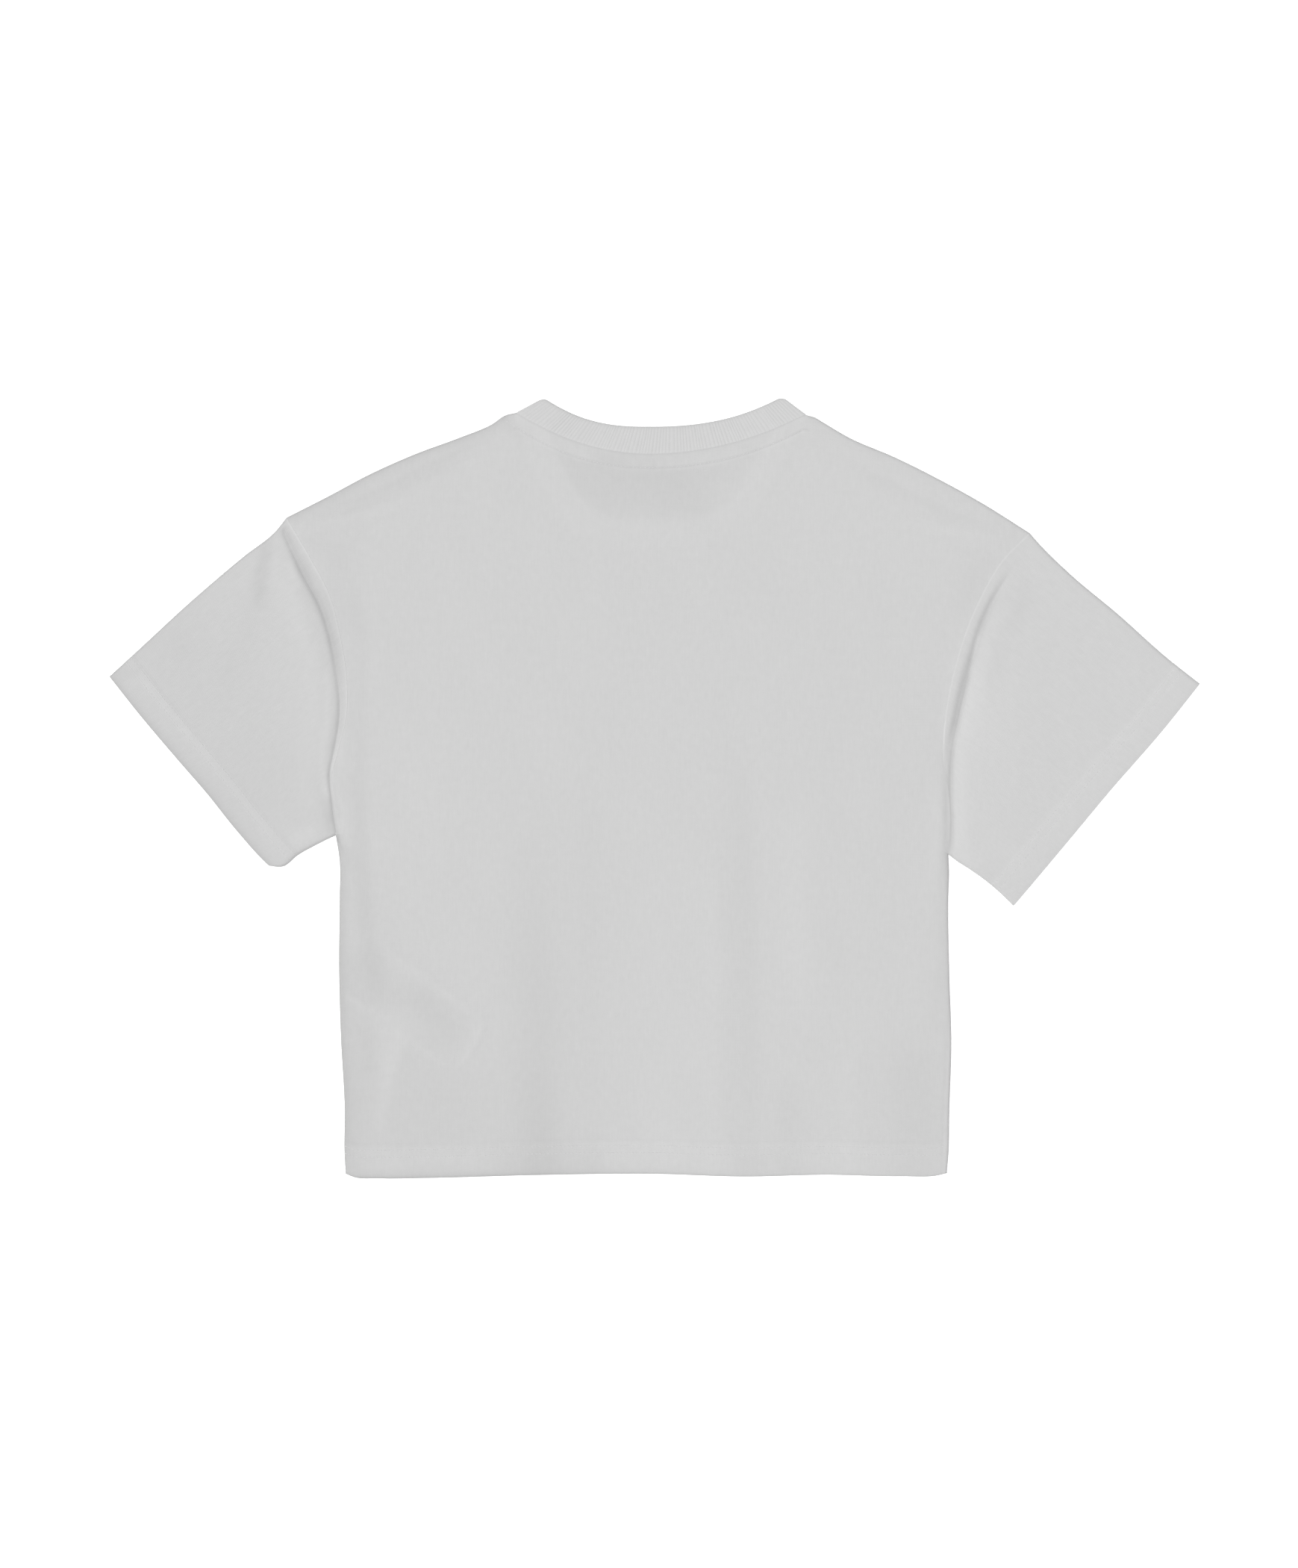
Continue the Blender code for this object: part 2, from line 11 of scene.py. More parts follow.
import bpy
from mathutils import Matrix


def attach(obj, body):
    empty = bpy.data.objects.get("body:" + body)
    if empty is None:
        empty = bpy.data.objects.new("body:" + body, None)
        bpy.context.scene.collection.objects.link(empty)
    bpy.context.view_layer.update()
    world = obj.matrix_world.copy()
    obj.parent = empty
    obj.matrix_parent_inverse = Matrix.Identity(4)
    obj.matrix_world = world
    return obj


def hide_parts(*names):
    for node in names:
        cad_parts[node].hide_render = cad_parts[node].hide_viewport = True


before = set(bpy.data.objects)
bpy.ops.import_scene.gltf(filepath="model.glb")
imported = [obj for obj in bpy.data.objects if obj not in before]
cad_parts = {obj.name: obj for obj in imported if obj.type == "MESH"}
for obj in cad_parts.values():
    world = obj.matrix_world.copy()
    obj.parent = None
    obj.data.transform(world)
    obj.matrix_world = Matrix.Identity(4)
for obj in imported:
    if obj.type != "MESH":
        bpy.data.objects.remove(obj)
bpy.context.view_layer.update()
print("solids:", sorted(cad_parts))

# %% The modules, the unit and one helper
from collections import namedtuple

import bpy
import numpy as np
from mathutils import Vector

MM = 0.001  # sizes below are in millimetres, as a maker writes them
rng = np.random.default_rng(7)  # gives the same numbers each run


def linked(name, data):
    """A new object of the scene, around its data."""
    obj = bpy.data.objects.new(name, data)
    bpy.context.scene.collection.objects.link(obj)
    return obj


# %% [markdown]
# ## The camera
#
# A flat garment is photographed from straight above, so that nothing is foreshortened. A
# short lens close by would show the thick places larger than the thin ones. A long lens from
# far away doesn't, so this one is 85 mm. Its height follows from the picture: the frame's
# long side takes in 1050 mm of the table.

# %% Camera
IMAGE_HEIGHT = 2100  # pixels, of a picture 1739 wide
VIEW_LENGTH = 1050.0  # what the picture's long side takes in
VIEW_CENTRE = (-3.75, 3.25)
SENSOR, LENS = 36.0, 85.0

camera = linked("camera", bpy.data.cameras.new("camera"))
camera.data.sensor_width = SENSOR
camera.data.lens = LENS
camera_height = VIEW_LENGTH * LENS / SENSOR
camera.location = (VIEW_CENTRE[0] * MM, VIEW_CENTRE[1] * MM, camera_height * MM)
bpy.context.scene.camera = camera
print(f"camera {camera_height:.0f} mm up, {VIEW_LENGTH / IMAGE_HEIGHT:.2f} mm a pixel")

# %% [markdown]
# ## The table and the light
#
# An off-white shirt on a white table has almost no contrast. Shops set it on a table that
# glows a little, so that no shadow falls beside the garment, and light it from above through
# a wide cloth. Here the table's glow is an emission, and the wide cloth is a sun lamp with a
# disc of 60 degrees, which lights the whole shirt evenly. It stands slightly to the left, so
# that each crease has a light flank and a dark one.

# %% Lamp and world
LAMP_DISC = 60  # degrees across
LAMP_STRENGTH = 3.05
LAMP_WAY = (0.22, 0.04, -1)
ROOM_STRENGTH = 0.28  # of the light from all round

soft_light = bpy.data.lights.new("soft_light", "SUN")
soft_light.angle = np.radians(LAMP_DISC)
soft_light.energy = LAMP_STRENGTH
lamp = linked("soft_light", soft_light)
lamp.rotation_euler = Vector(LAMP_WAY).to_track_quat("-Z", "Y").to_euler()

world = bpy.data.worlds.new("studio")
world.use_nodes = True
background = world.node_tree.nodes["Background"]
background.inputs["Color"].default_value = (1, 1, 1, 1)
background.inputs["Strength"].default_value = ROOM_STRENGTH
bpy.context.scene.world = world
bpy.context.scene.view_settings.view_transform = "Standard"
lamp_tilt = np.degrees(Vector(LAMP_WAY).angle(Vector((0, 0, -1))))
print(f"lamp {lamp_tilt:.0f} degrees off the vertical")

# %% Table
TABLE_HALF = 3.0  # metres
TABLE_DROP = 0.3 * MM  # leaves room for the stitches under the lower layer
TABLE_SHADE = 0.96
TABLE_GLOW = 0.3


def surface(name, settings):
    """A new material and its shader, whose inputs are set by their names."""
    material = bpy.data.materials.new(name)
    material.use_nodes = True
    shader = material.node_tree.nodes["Principled BSDF"]
    for key, value in settings.items():
        shader.inputs[key].default_value = value
    return material, shader


table_mesh = bpy.data.meshes.new("table")
table_mesh.from_pydata([(x * TABLE_HALF, y * TABLE_HALF, -TABLE_DROP) for x, y in
                        ((-1, -1), (1, -1), (1, 1), (-1, 1))], [], [(0, 1, 2, 3)])
table_white, _ = surface("table_white", {
    "Base Color": (TABLE_SHADE, TABLE_SHADE, TABLE_SHADE, 1), "Roughness": 0.9,
    "Emission Color": (1, 1, 1, 1), "Emission Strength": TABLE_GLOW,
})
table_mesh.materials.append(table_white)
table = linked("table", table_mesh)
print(f"table {2 * TABLE_HALF:.0f} m wide")

# %% [markdown]
# ## The pattern's outline
#
# A maker draws a shirt's pieces from a few measurements. Here they are the sections across
# the laid garment, one row for each height, and the lines that close them at the top and the
# bottom. They are the same as the solids', so the cloth lies where the solids lie.

# %% Sizes of the cloth
WALL = 0.8  # the jersey's own thickness
LAYER = 1.0  # the space that one layer takes in the lay
LAYER_GAP = 0.3  # between the two layers
LOFT = 0.7  # how much higher the upper layer lies than it must
LAY_HEIGHT = 2 * LAYER + LAYER_GAP + LOFT
EDGE_ROUND = 3.0  # reach of the rounding along a folded edge
EDGE_WALL = 0.5  # wall of a panel at its outer edge
SEAM_LAP = 0.5  # how far the sleeve reaches over the body at the armhole
HEM_DEPTH = 22.5
CUFF_DEPTH = 20.5
HEM_FADE = 4.0  # how far a turned-up hem's raw edge shows as a slope
HEM_LINE = 1.6  # how far it shows as painted light
TURN_UP = 0.25  # how much thicker each wall is where its hem is turned up
print(f"the upper layer lies {LAY_HEIGHT:.1f} mm up")

# %% Sections and lines of the outline
Section = namedtuple("Section", "left_x left_y right_x right_y")
SIDES = (
    Section(-206.8, -257.6, 195.6, -257.2),
    Section(-207.6, -245.0, 196.6, -245.0),
    Section(-207.5, -215.0, 197.3, -215.0),
    Section(-210.1, -165.0, 198.6, -170.0),
    Section(-211.3, -120.0, 197.3, -125.0),
    Section(-210.9, -75.0, 196.6, -72.0),
    Section(-211.0, -47.0, 197.1, -55.0),
    Section(-213.5, -31.0, 196.6, -43.5),
)
ARMHOLES = (
    Section(-213.5, -31.0, 196.6, -43.5),
    Section(-216.2, -14.0, 198.3, -22.0),
    Section(-217.6, 3.0, 197.2, -2.0),
    Section(-212.5, 25.0, 193.6, 20.0),
    Section(-206.8, 48.0, 194.6, 45.0),
    Section(-206.6, 75.0, 199.6, 74.0),
    Section(-211.0, 103.0, 208.0, 103.0),
    Section(-218.2, 130.0, 219.6, 130.0),
    Section(-230.0, 152.5, 233.0, 152.5),
    Section(-246.8, 181.3, 251.3, 171.0),
)

Place = namedtuple("Place", "x y")
HEM_EDGE = (
    Place(-206.8, -257.6), Place(-201.0, -259.9), Place(-185.0, -260.7), Place(-150.0, -260.4),
    Place(-80.0, -258.5), Place(0.0, -257.7), Place(60.0, -259.5), Place(115.0, -258.3),
    Place(165.0, -259.3), Place(190.0, -258.6), Place(195.6, -257.2),
)
SHOULDER_LEFT = (
    Place(-246.8, 181.3), Place(-220.0, 194.9), Place(-190.0, 210.8), Place(-160.0, 224.1),
    Place(-130.0, 235.2), Place(-109.0, 243.9), Place(-99.0, 250.3), Place(-92.7, 251.4),
)
SHOULDER_RIGHT = (
    Place(251.3, 171.0), Place(220.0, 190.7), Place(190.0, 207.3), Place(160.0, 222.2),
    Place(130.0, 235.1), Place(110.5, 246.6), Place(106.0, 249.2), Place(101.0, 250.2),
)

SleeveSection = namedtuple("SleeveSection", "over_x over_y under_x under_y")
SLEEVE_LEFT = (
    SleeveSection(-246.8, 181.3, -213.5, -31.0),
    SleeveSection(-254.0, 172.3, -217.0, -32.6),
    SleeveSection(-275.0, 155.6, -227.0, -37.6),
    SleeveSection(-310.0, 125.8, -238.5, -44.0),
    SleeveSection(-345.0, 93.5, -249.5, -52.1),
    SleeveSection(-364.9, 75.2, -258.0, -51.5),
)
SLEEVE_RIGHT = (
    SleeveSection(251.3, 171.0, 196.6, -43.5),
    SleeveSection(258.5, 162.8, 202.0, -47.8),
    SleeveSection(278.0, 143.8, 212.0, -54.4),
    SleeveSection(310.0, 117.0, 223.0, -62.4),
    SleeveSection(345.0, 86.0, 233.0, -71.2),
    SleeveSection(364.9, 70.4, 240.2, -78.3),
)
CUFF_LEFT = (
    Place(-364.9, 75.2), Place(-340.0, 44.0), Place(-320.0, 20.5), Place(-300.0, -2.5),
    Place(-280.0, -27.5), Place(-263.4, -46.2), Place(-258.0, -51.5),
)
CUFF_RIGHT = (
    Place(364.9, 70.4), Place(340.0, 39.2), Place(305.0, -1.0), Place(275.0, -37.0),
    Place(240.2, -78.3),
)

Bow = namedtuple("Bow", "low_x low_y left_x left_y right_x right_y power")
BACK_SEAM = Bow(-3.0, 223.9, -92.7, 251.4, 101.0, 250.2, 2.0)
BACK_RIM = Bow(-5.0, 242.3, -75.8, 262.5, 86.6, 263.0, 2.45)
FRONT_SEAM = Bow(0.0, 161.0, -92.7, 251.4, 101.0, 250.2, 3.2)
FRONT_RIM = Bow(1.0, 180.5, -75.8, 260.3, 86.6, 260.8, 3.6)
RIM_CORNER = 5.5  # length over which the back rim turns down into the band's folds
RIM_DROP = 2.2  # how far it turns down at its ends
TAPE_STITCH = Bow(-4.0, 214.8, -103.0, 249.0, 105.0, 243.5, 2.15)
print(f"body {SIDES[4].right_x - SIDES[4].left_x:.0f} mm wide")

# %% [markdown]
# ## From a few points to a smooth edge
#
# Cloth edges are smooth, so a line through a maker's points must not have corners. A cubic
# between each two points does this, with its slope at a point taken from the neighbours. The
# necklines are simpler still: a bow that rises from its low point by a power of the distance.
# Between four such edges, a Coons patch spreads the lines of a grid as evenly as they allow.

# %% Curves through points
def running_length(points):
    """The length along a line of points, from its first point to each of them."""
    return np.concatenate([[0], np.cumsum(np.linalg.norm(np.diff(points, axis=0), axis=1))])


def curve(points, shares):
    """Points at shares of the length: a cubic between each two points, whose slope at a point
    is the slope of the chord between its neighbours."""
    points = np.asarray(points, float)
    along = running_length(points)
    slope = np.gradient(points, along, axis=0)
    at = np.asarray(shares) * along[-1]
    i = np.clip(np.searchsorted(along, at, side="right") - 1, 0, len(points) - 2)
    step = (along[i + 1] - along[i])[:, None]
    q = (at - along[i])[:, None] / step
    return (
        (1 + 2 * q) * (1 - q) ** 2 * points[i]
        + q * (1 - q) ** 2 * step * slope[i]
        + q ** 2 * (3 - 2 * q) * points[i + 1]
        + q ** 2 * (q - 1) * step * slope[i + 1]
    )


def side_line(sections, side, shares):
    """The curve through one side of the sections."""
    points = [(getattr(row, side + "_x"), getattr(row, side + "_y")) for row in sections]
    return curve(points, shares)


# %% Bows
BOW_SAMPLES = 1601
SLOPE_STEP = 0.25  # half the stretch over which a bow's slope is read


def bow_height(bow, x):
    """Low point plus the rise to the end, times the share of the way there to the power."""
    left = x < bow.low_x
    reach = np.where(left, bow.low_x - bow.left_x, bow.right_x - bow.low_x)
    rise = np.where(left, bow.left_y, bow.right_y) - bow.low_y
    return bow.low_y + rise * (np.abs(x - bow.low_x) / reach) ** bow.power


def bow_points(bow, shares):
    """Points at shares of a bow's length, read off a fine polyline along it."""
    x = np.linspace(bow.left_x, bow.right_x, BOW_SAMPLES)
    fine = np.stack([x, bow_height(bow, x)], axis=1)
    along = running_length(fine)
    at = np.asarray(shares) * along[-1]
    return np.stack([np.interp(at, along, fine[:, 0]), np.interp(at, along, fine[:, 1])], axis=1)


def above_bow(bow, x, y):
    """Distance above a bow: the height over it, divided by the length of its normal."""
    x_in = np.clip(x, bow.left_x, bow.right_x)
    rise = bow_height(bow, x_in + SLOPE_STEP) - bow_height(bow, x_in - SLOPE_STEP)
    slope = rise / (2 * SLOPE_STEP)
    return (y - bow_height(bow, x_in)) / np.sqrt(1 + slope ** 2)


def rim_points(shares):
    """Points on the back rim: a bow whose ends turn down, by the drop times the square of
    the share of the corner that is left to go."""
    points = bow_points(BACK_RIM, shares)
    to_end = np.minimum(*(np.linalg.norm(points - points[end], axis=1) for end in (0, -1)))
    drop = RIM_DROP * np.clip(1 - to_end / RIM_CORNER, 0, 1) ** 2
    return points - np.stack([np.zeros(len(drop)), drop], axis=1)


# %% Grids between edges
def moved_out(points, distance):
    """Each point moved to the left of its way along the curve."""
    way = np.gradient(points, axis=0)
    way /= np.linalg.norm(way, axis=1)[:, None]
    return points + distance * np.stack([-way[:, 1], way[:, 0]], axis=1)


def patch(bottom, top, left, right, u, v, fade=1):
    """Coons patch: the blend of bottom and top, plus the blend of left and right, less the
    blend of the four corners. left and right count by the share of the way to them, to the
    power fade: the higher it is, the less the lines in the middle follow a bent side."""
    near_left, near_right = ((share ** fade)[None, :, None] for share in (1 - u, u))
    v = v[:, None, None]
    between = (1 - v) * bottom[None] + v * top[None]
    across = near_left * left[:, None] + near_right * right[:, None]
    corners = (
        near_left * ((1 - v) * bottom[0] + v * top[0])
        + near_right * ((1 - v) * bottom[-1] + v * top[-1])
    )
    return between + across - corners


def stations(*stretches):
    """Shares of a length that is made of stretches, each with its own length and step."""
    starts = np.cumsum([0.0] + [length for length, _ in stretches])
    cuts = [
        start + np.linspace(0, length, max(round(length / step), 1) + 1)[1:]
        for start, (length, step) in zip(starts, stretches)
    ]
    return np.concatenate([[0.0], *cuts]) / starts[-1]


# %% Soft steps and grooves
def smooth_step(q):
    """0 below 0, 1 above 1, and 3 q^2 - 2 q^3 between."""
    q = np.clip(q, 0, 1)
    return q * q * (3 - 2 * q)


def rounding(distance, reach=EDGE_ROUND):
    """A quarter ellipse: 0 at the edge and 1 from reach inwards."""
    q = np.clip(distance / reach, 0, 1)
    return np.sqrt(1 - (1 - q) ** 2)


def doubled(distance, depth, fade=HEM_FADE):
    """1 where a hem doubles the cloth, by the distance from the edge, and 0 above it."""
    return 1 - smooth_step((distance - depth) / fade + 0.5)


def groove(distance, width):
    """A bell of the distance: 1 on the line, and near 0 at twice the width."""
    return np.exp(-((distance / width) ** 2))


print("a hem's share 2 mm each side of its raw edge:", doubled(np.array([-2, 2]), 0).round(2))

# %% [markdown]
# ## Creases, placed one by one
#
# Jersey that was smoothed flat by hand keeps soft creases. Most run down from the chest, some
# fan out from the shoulders, and the sleeves roll over where they are sewn on. A cloth
# simulation would place such creases where it likes. Here each is drawn as a path with its
# own width, height and fade. A crease may lean, so that one of its sides is steeper, and its
# power says how sharp it is: 2 is a soft wave, and near 1 the cloth is pressed. Low on the
# left, the imprint of a stiff corner inside the side seam has pressed through the back.

# %% The creases
PATH_STEPS = 4  # points of a smoothed path for each of its own
Fold = namedtuple("Fold", "name path width height fade lean power", defaults=(0.0, 2.0))
VALLEY_LEFT = ((-248.5, 176), (-237, 149), (-223, 121), (-213.7, 86), (-210.5, 52),
               (-213.6, 27), (-217, 10), (-215.2, -8), (-213, -22), (-208.5, -42))
VALLEY_RIGHT = ((240.8, 150), (223, 118), (212, 85), (204.8, 55), (198.6, 25), (197.6, 0),
                (198.4, -25), (196.8, -60))
UNDERARM_LEFT = ((-217.2, -4), (-215.4, -20), (-212.8, -31), (-212, -40))
UNDERARM_RIGHT = ((200.6, 36), (198.2, 20), (197.2, 0), (198.5, -22), (197.2, -48))
RIDGE_LEFT = ((-255, 165), (-243, 138), (-232, 110), (-225, 78), (-222, 48), (-225, 15),
              (-228, -25))
RIDGE_RIGHT = ((250, 145), (236, 120), (224, 95), (215, 66), (209, 35), (207, 0), (208, -60))
FOLDS = (
    Fold("drape_left", ((-80, 70), (-76, -120), (-79, -380)), 24, -0.9, 190),
    Fold("drape_right", ((55, 90), (60, -90), (64, -380)), 13, -0.8, 170),
    Fold("drape_middle", ((22, 50), (20, -120), (12, -380)), 26, 0.8, 150),
    Fold("drape_between", ((94, 0), (96, -80), (98, -170)), 15, 0.7, 50),
    Fold("hollow_right", ((177, -140), (176, -380)), 20, -0.8, 60),
    Fold("hollow_between", ((92, -180), (95, -340)), 13, -0.5, 30),
    Fold("ridge_low_right", ((132, -150), (134, -340)), 9, 0.5, 50),
    Fold("side_ridge_left", ((-204, 20), (-202, -70), (-197, -128)), 6, 0.6, 30),
    Fold("side_trough_left", ((-196, 150), (-196, 0), (-191, -75), (-186, -122)), 6, -0.5, 40),
    Fold("low_ridge_left", ((-167, -158), (-176, -190), (-188, -245)), 8, 0.8, 30),
    Fold("imprint_hollow", ((-152, -140), (-140, -166)), 13, -0.6, 0),
    Fold("imprint_upper", ((-186, -102), (-152, -127), (-112, -155)), 2.8, 0.45, 14),
    Fold("imprint_end", ((-113, -153), (-119, -168), (-133, -189)), 2.8, 0.5, 9),
    Fold("imprint_lower", ((-131, -189), (-155, -173), (-176, -159)), 3.4, 0.35, 16),
    Fold("side_nick_left", ((-207, -138), (-200, -142), (-190, -147)), 2.2, 0.5, 5),
    Fold("shoulder_trough_left", ((-95, 240), (-150, 213), (-200, 190), (-243, 177)), 4, -1.0,
         45),
    Fold("shoulder_ridge_left", ((-150, 194), (-200, 181), (-240, 174)), 6, 0.9, 35),
    Fold("shoulder_fan_left", ((-172, 176), (-214, 160), (-232, 152)), 5, 0.4, 25),
    Fold("shoulder_trough_right", ((102, 233), (150, 210), (200, 187), (246, 170)), 5, -0.7,
         60),
    Fold("shoulder_ridge_right", ((165, 184), (205, 172), (244, 168)), 6, 0.9, 30),
    Fold("shoulder_fan_right", ((170, 168), (208, 156), (232, 150)), 5, 0.4, 25),
    Fold("armhole_roll_left", ((-233, 150), (-220, 122), (-212, 92), (-208.5, 62), (-210, 36),
                               (-214, 14)), 4.2, 1.1, 35),
    Fold("armhole_valley_left", VALLEY_LEFT, 2.9, -2.4, 6, 0.3, 1.35),
    Fold("sleeve_ridge_left", RIDGE_LEFT, 9, 1.5, 25),
    Fold("body_edge_left", ((-212, 16), (-211.5, -12), (-208, -60)), 5, 0.9, 18),
    Fold("armhole_roll_right", ((240, 158), (228, 136), (214, 108), (204, 78), (197.5, 46),
                                (195, 18)), 4.2, 1.1, 30),
    Fold("armhole_valley_right", VALLEY_RIGHT, 2.9, -2.4, 30, -0.3, 1.35),
    Fold("sleeve_ridge_right", RIDGE_RIGHT, 9, 1.5, 30),
    Fold("body_edge_right", ((192, 12), (192, -18), (190, -70)), 5, 0.9, 18),
    Fold("sleeve_crease_left", ((-256, 172), (-262, 148), (-267, 120)), 4, -0.8, 18),
    Fold("sleeve_wave_left", ((-322, 112), (-310, 84), (-300, 60)), 9, -0.4, 25),
    Fold("sleeve_wave_right", ((300, 112), (312, 88), (318, 60)), 10, -0.3, 25),
    Fold("side_seam_right", ((197, -150), (194, -215), (192, -300)), 1.2, -0.3, 25),
)


def fold_height(fold, x, y):
    """Height times a bell of the distance from the fold's path, whose width is larger on the
    side that it leans to. Where the fold has a fade, it sinks to nothing at both ends."""
    path = np.asarray(fold.path, float)
    if len(path) > 2:
        path = curve(path, np.linspace(0, 1, PATH_STEPS * len(path)))
    lengths = np.linalg.norm(np.diff(path, axis=0), axis=1)
    nearest, left = np.full(np.shape(x), np.inf), np.zeros(np.shape(x), bool)
    along = np.zeros(np.shape(x))
    for i, length in enumerate(lengths):
        way = (path[i + 1] - path[i]) / length
        from_x, from_y = x - path[i, 0], y - path[i, 1]
        forward = np.clip(from_x * way[0] + from_y * way[1], 0, length)
        aside = np.hypot(from_x - forward * way[0], from_y - forward * way[1])
        closer = aside < nearest
        along = np.where(closer, lengths[:i].sum() + forward, along)
        left = np.where(closer, way[0] * from_y - way[1] * from_x > 0, left)
        nearest = np.minimum(nearest, aside)
    width = fold.width * (1 + fold.lean * np.where(left, 1, -1))
    bell = np.exp(-((nearest / width) ** fold.power))
    to_end = np.minimum(along, lengths.sum() - along)
    return fold.height * bell * (smooth_step(to_end / fold.fade) if fold.fade else 1)


print(len(FOLDS), "creases of the upper layer")

# %% [markdown]
# ## Where the back sinks, and what never lies quite flat
#
# Below the back's neck there is no second layer: the front's neckline is lower. There the
# back sinks by one layer's thickness, which shows as a half-moon, and the front's thick rib
# shows as a faint ring around it. Even smoothed cloth isn't a plane, either. A few long
# shallow waves, each a sine of its own length and direction, break up the light so that the
# shirt doesn't look like paper.

# %% Height of the upper layer
NECK_DROP = 0.8
NECK_DROP_REACH = 15.0
NECK_DROP_START = 0.3  # the share of its reach that lies outside the front's rim
RING_RISE = 0.3
RING_EDGE = 4.0  # over how much the ring rises and falls
REST_SOFTNESS = 0.2  # how softly the upper layer comes to rest on the lower one
WAVE_COUNT = 26
WAVE_LENGTHS = (18, 80)
WAVE_SHARE = 0.0009  # height of a wave, as a share of its length
wave_length = rng.uniform(*WAVE_LENGTHS, WAVE_COUNT)
wave_way = rng.uniform(0, np.pi, WAVE_COUNT)
wave_start = rng.uniform(0, 2 * np.pi, WAVE_COUNT)


def waves(x, y):
    """A sum of sines, each as high as its share of its own length."""
    turn = 2 * np.pi / wave_length
    phase = (
        np.multiply.outer(x, np.cos(wave_way) * turn)
        + np.multiply.outer(y, np.sin(wave_way) * turn) + wave_start
    )
    return (np.sin(phase) * wave_length * WAVE_SHARE).sum(axis=-1)


def over_neck(x, y):
    """1 where the back lies over the front's neck opening, falling to 0 across its rim."""
    within = (x > FRONT_RIM.left_x) & (x < FRONT_RIM.right_x)
    return smooth_step(above_bow(FRONT_RIM, x, y) / NECK_DROP_REACH + NECK_DROP_START) * within


def over_ring(x, y):
    """1 where the back lies over the front's neckband, and 0 on both sides of it."""
    within = (x > FRONT_SEAM.left_x) & (x < FRONT_SEAM.right_x)
    outside = smooth_step(above_bow(FRONT_SEAM, x, y) / RING_EDGE + 0.5)
    return outside * (1 - smooth_step(above_bow(FRONT_RIM, x, y) / RING_EDGE + 0.5)) * within


def lay_height(x, y):
    """The level lay, its folds and waves, held up by the layer below, less the neck's drop."""
    folds = sum(fold_height(fold, x, y) for fold in FOLDS)
    lying = LAY_HEIGHT + folds + waves(x, y) + RING_RISE * over_ring(x, y)
    lowest = 2 * WALL + LAYER_GAP
    above = np.logaddexp(0, (lying - lowest) / REST_SOFTNESS)
    return lowest + REST_SOFTNESS * above - NECK_DROP * over_neck(x, y)


print("at the middle:", lay_height(np.array([0.0]), np.array([0.0])).round(2), "mm up")

# %% [markdown]
# ## The lower layer
#
# Nobody sees the front while the shirt lies on it, but a maker turns the garment over. It lies
# flat on the table, and where it has a crease its cloth lifts off a little. These creases
# follow the same pull as those above, from the chest down and along the sleeves, and are
# guessed, because no picture shows them.

# %% Creases of the lower layer
LOWER_FOLDS = (
    Fold("front_drape_left", ((-92, 40), (-84, -120), (-88, -330)), 16, 0.30, 120),
    Fold("front_drape_middle", ((8, 30), (14, -110), (6, -330)), 11, 0.22, 100),
    Fold("front_drape_right", ((84, 60), (92, -90), (86, -330)), 18, 0.32, 130),
    Fold("front_fan_left", ((-196, 120), (-170, 60), (-160, -20)), 9, 0.25, 50),
    Fold("front_fan_right", ((188, 128), (166, 70), (154, -10)), 8, 0.22, 45),
    Fold("under_sleeve_left", ((-262, 140), (-286, 60), (-300, 10)), 10, 0.20, 40),
    Fold("under_sleeve_right", ((268, 138), (288, 62), (296, -5)), 11, 0.20, 40),
)
LIFT_SHADE = -0.09  # painted shade for each millimetre that the cloth is off the table


def lift(x, y):
    """How far the lower layer is off the table: the sum of its creases."""
    return sum(fold_height(fold, x, y) for fold in LOWER_FOLDS)


print(len(LOWER_FOLDS), "creases of the lower layer")
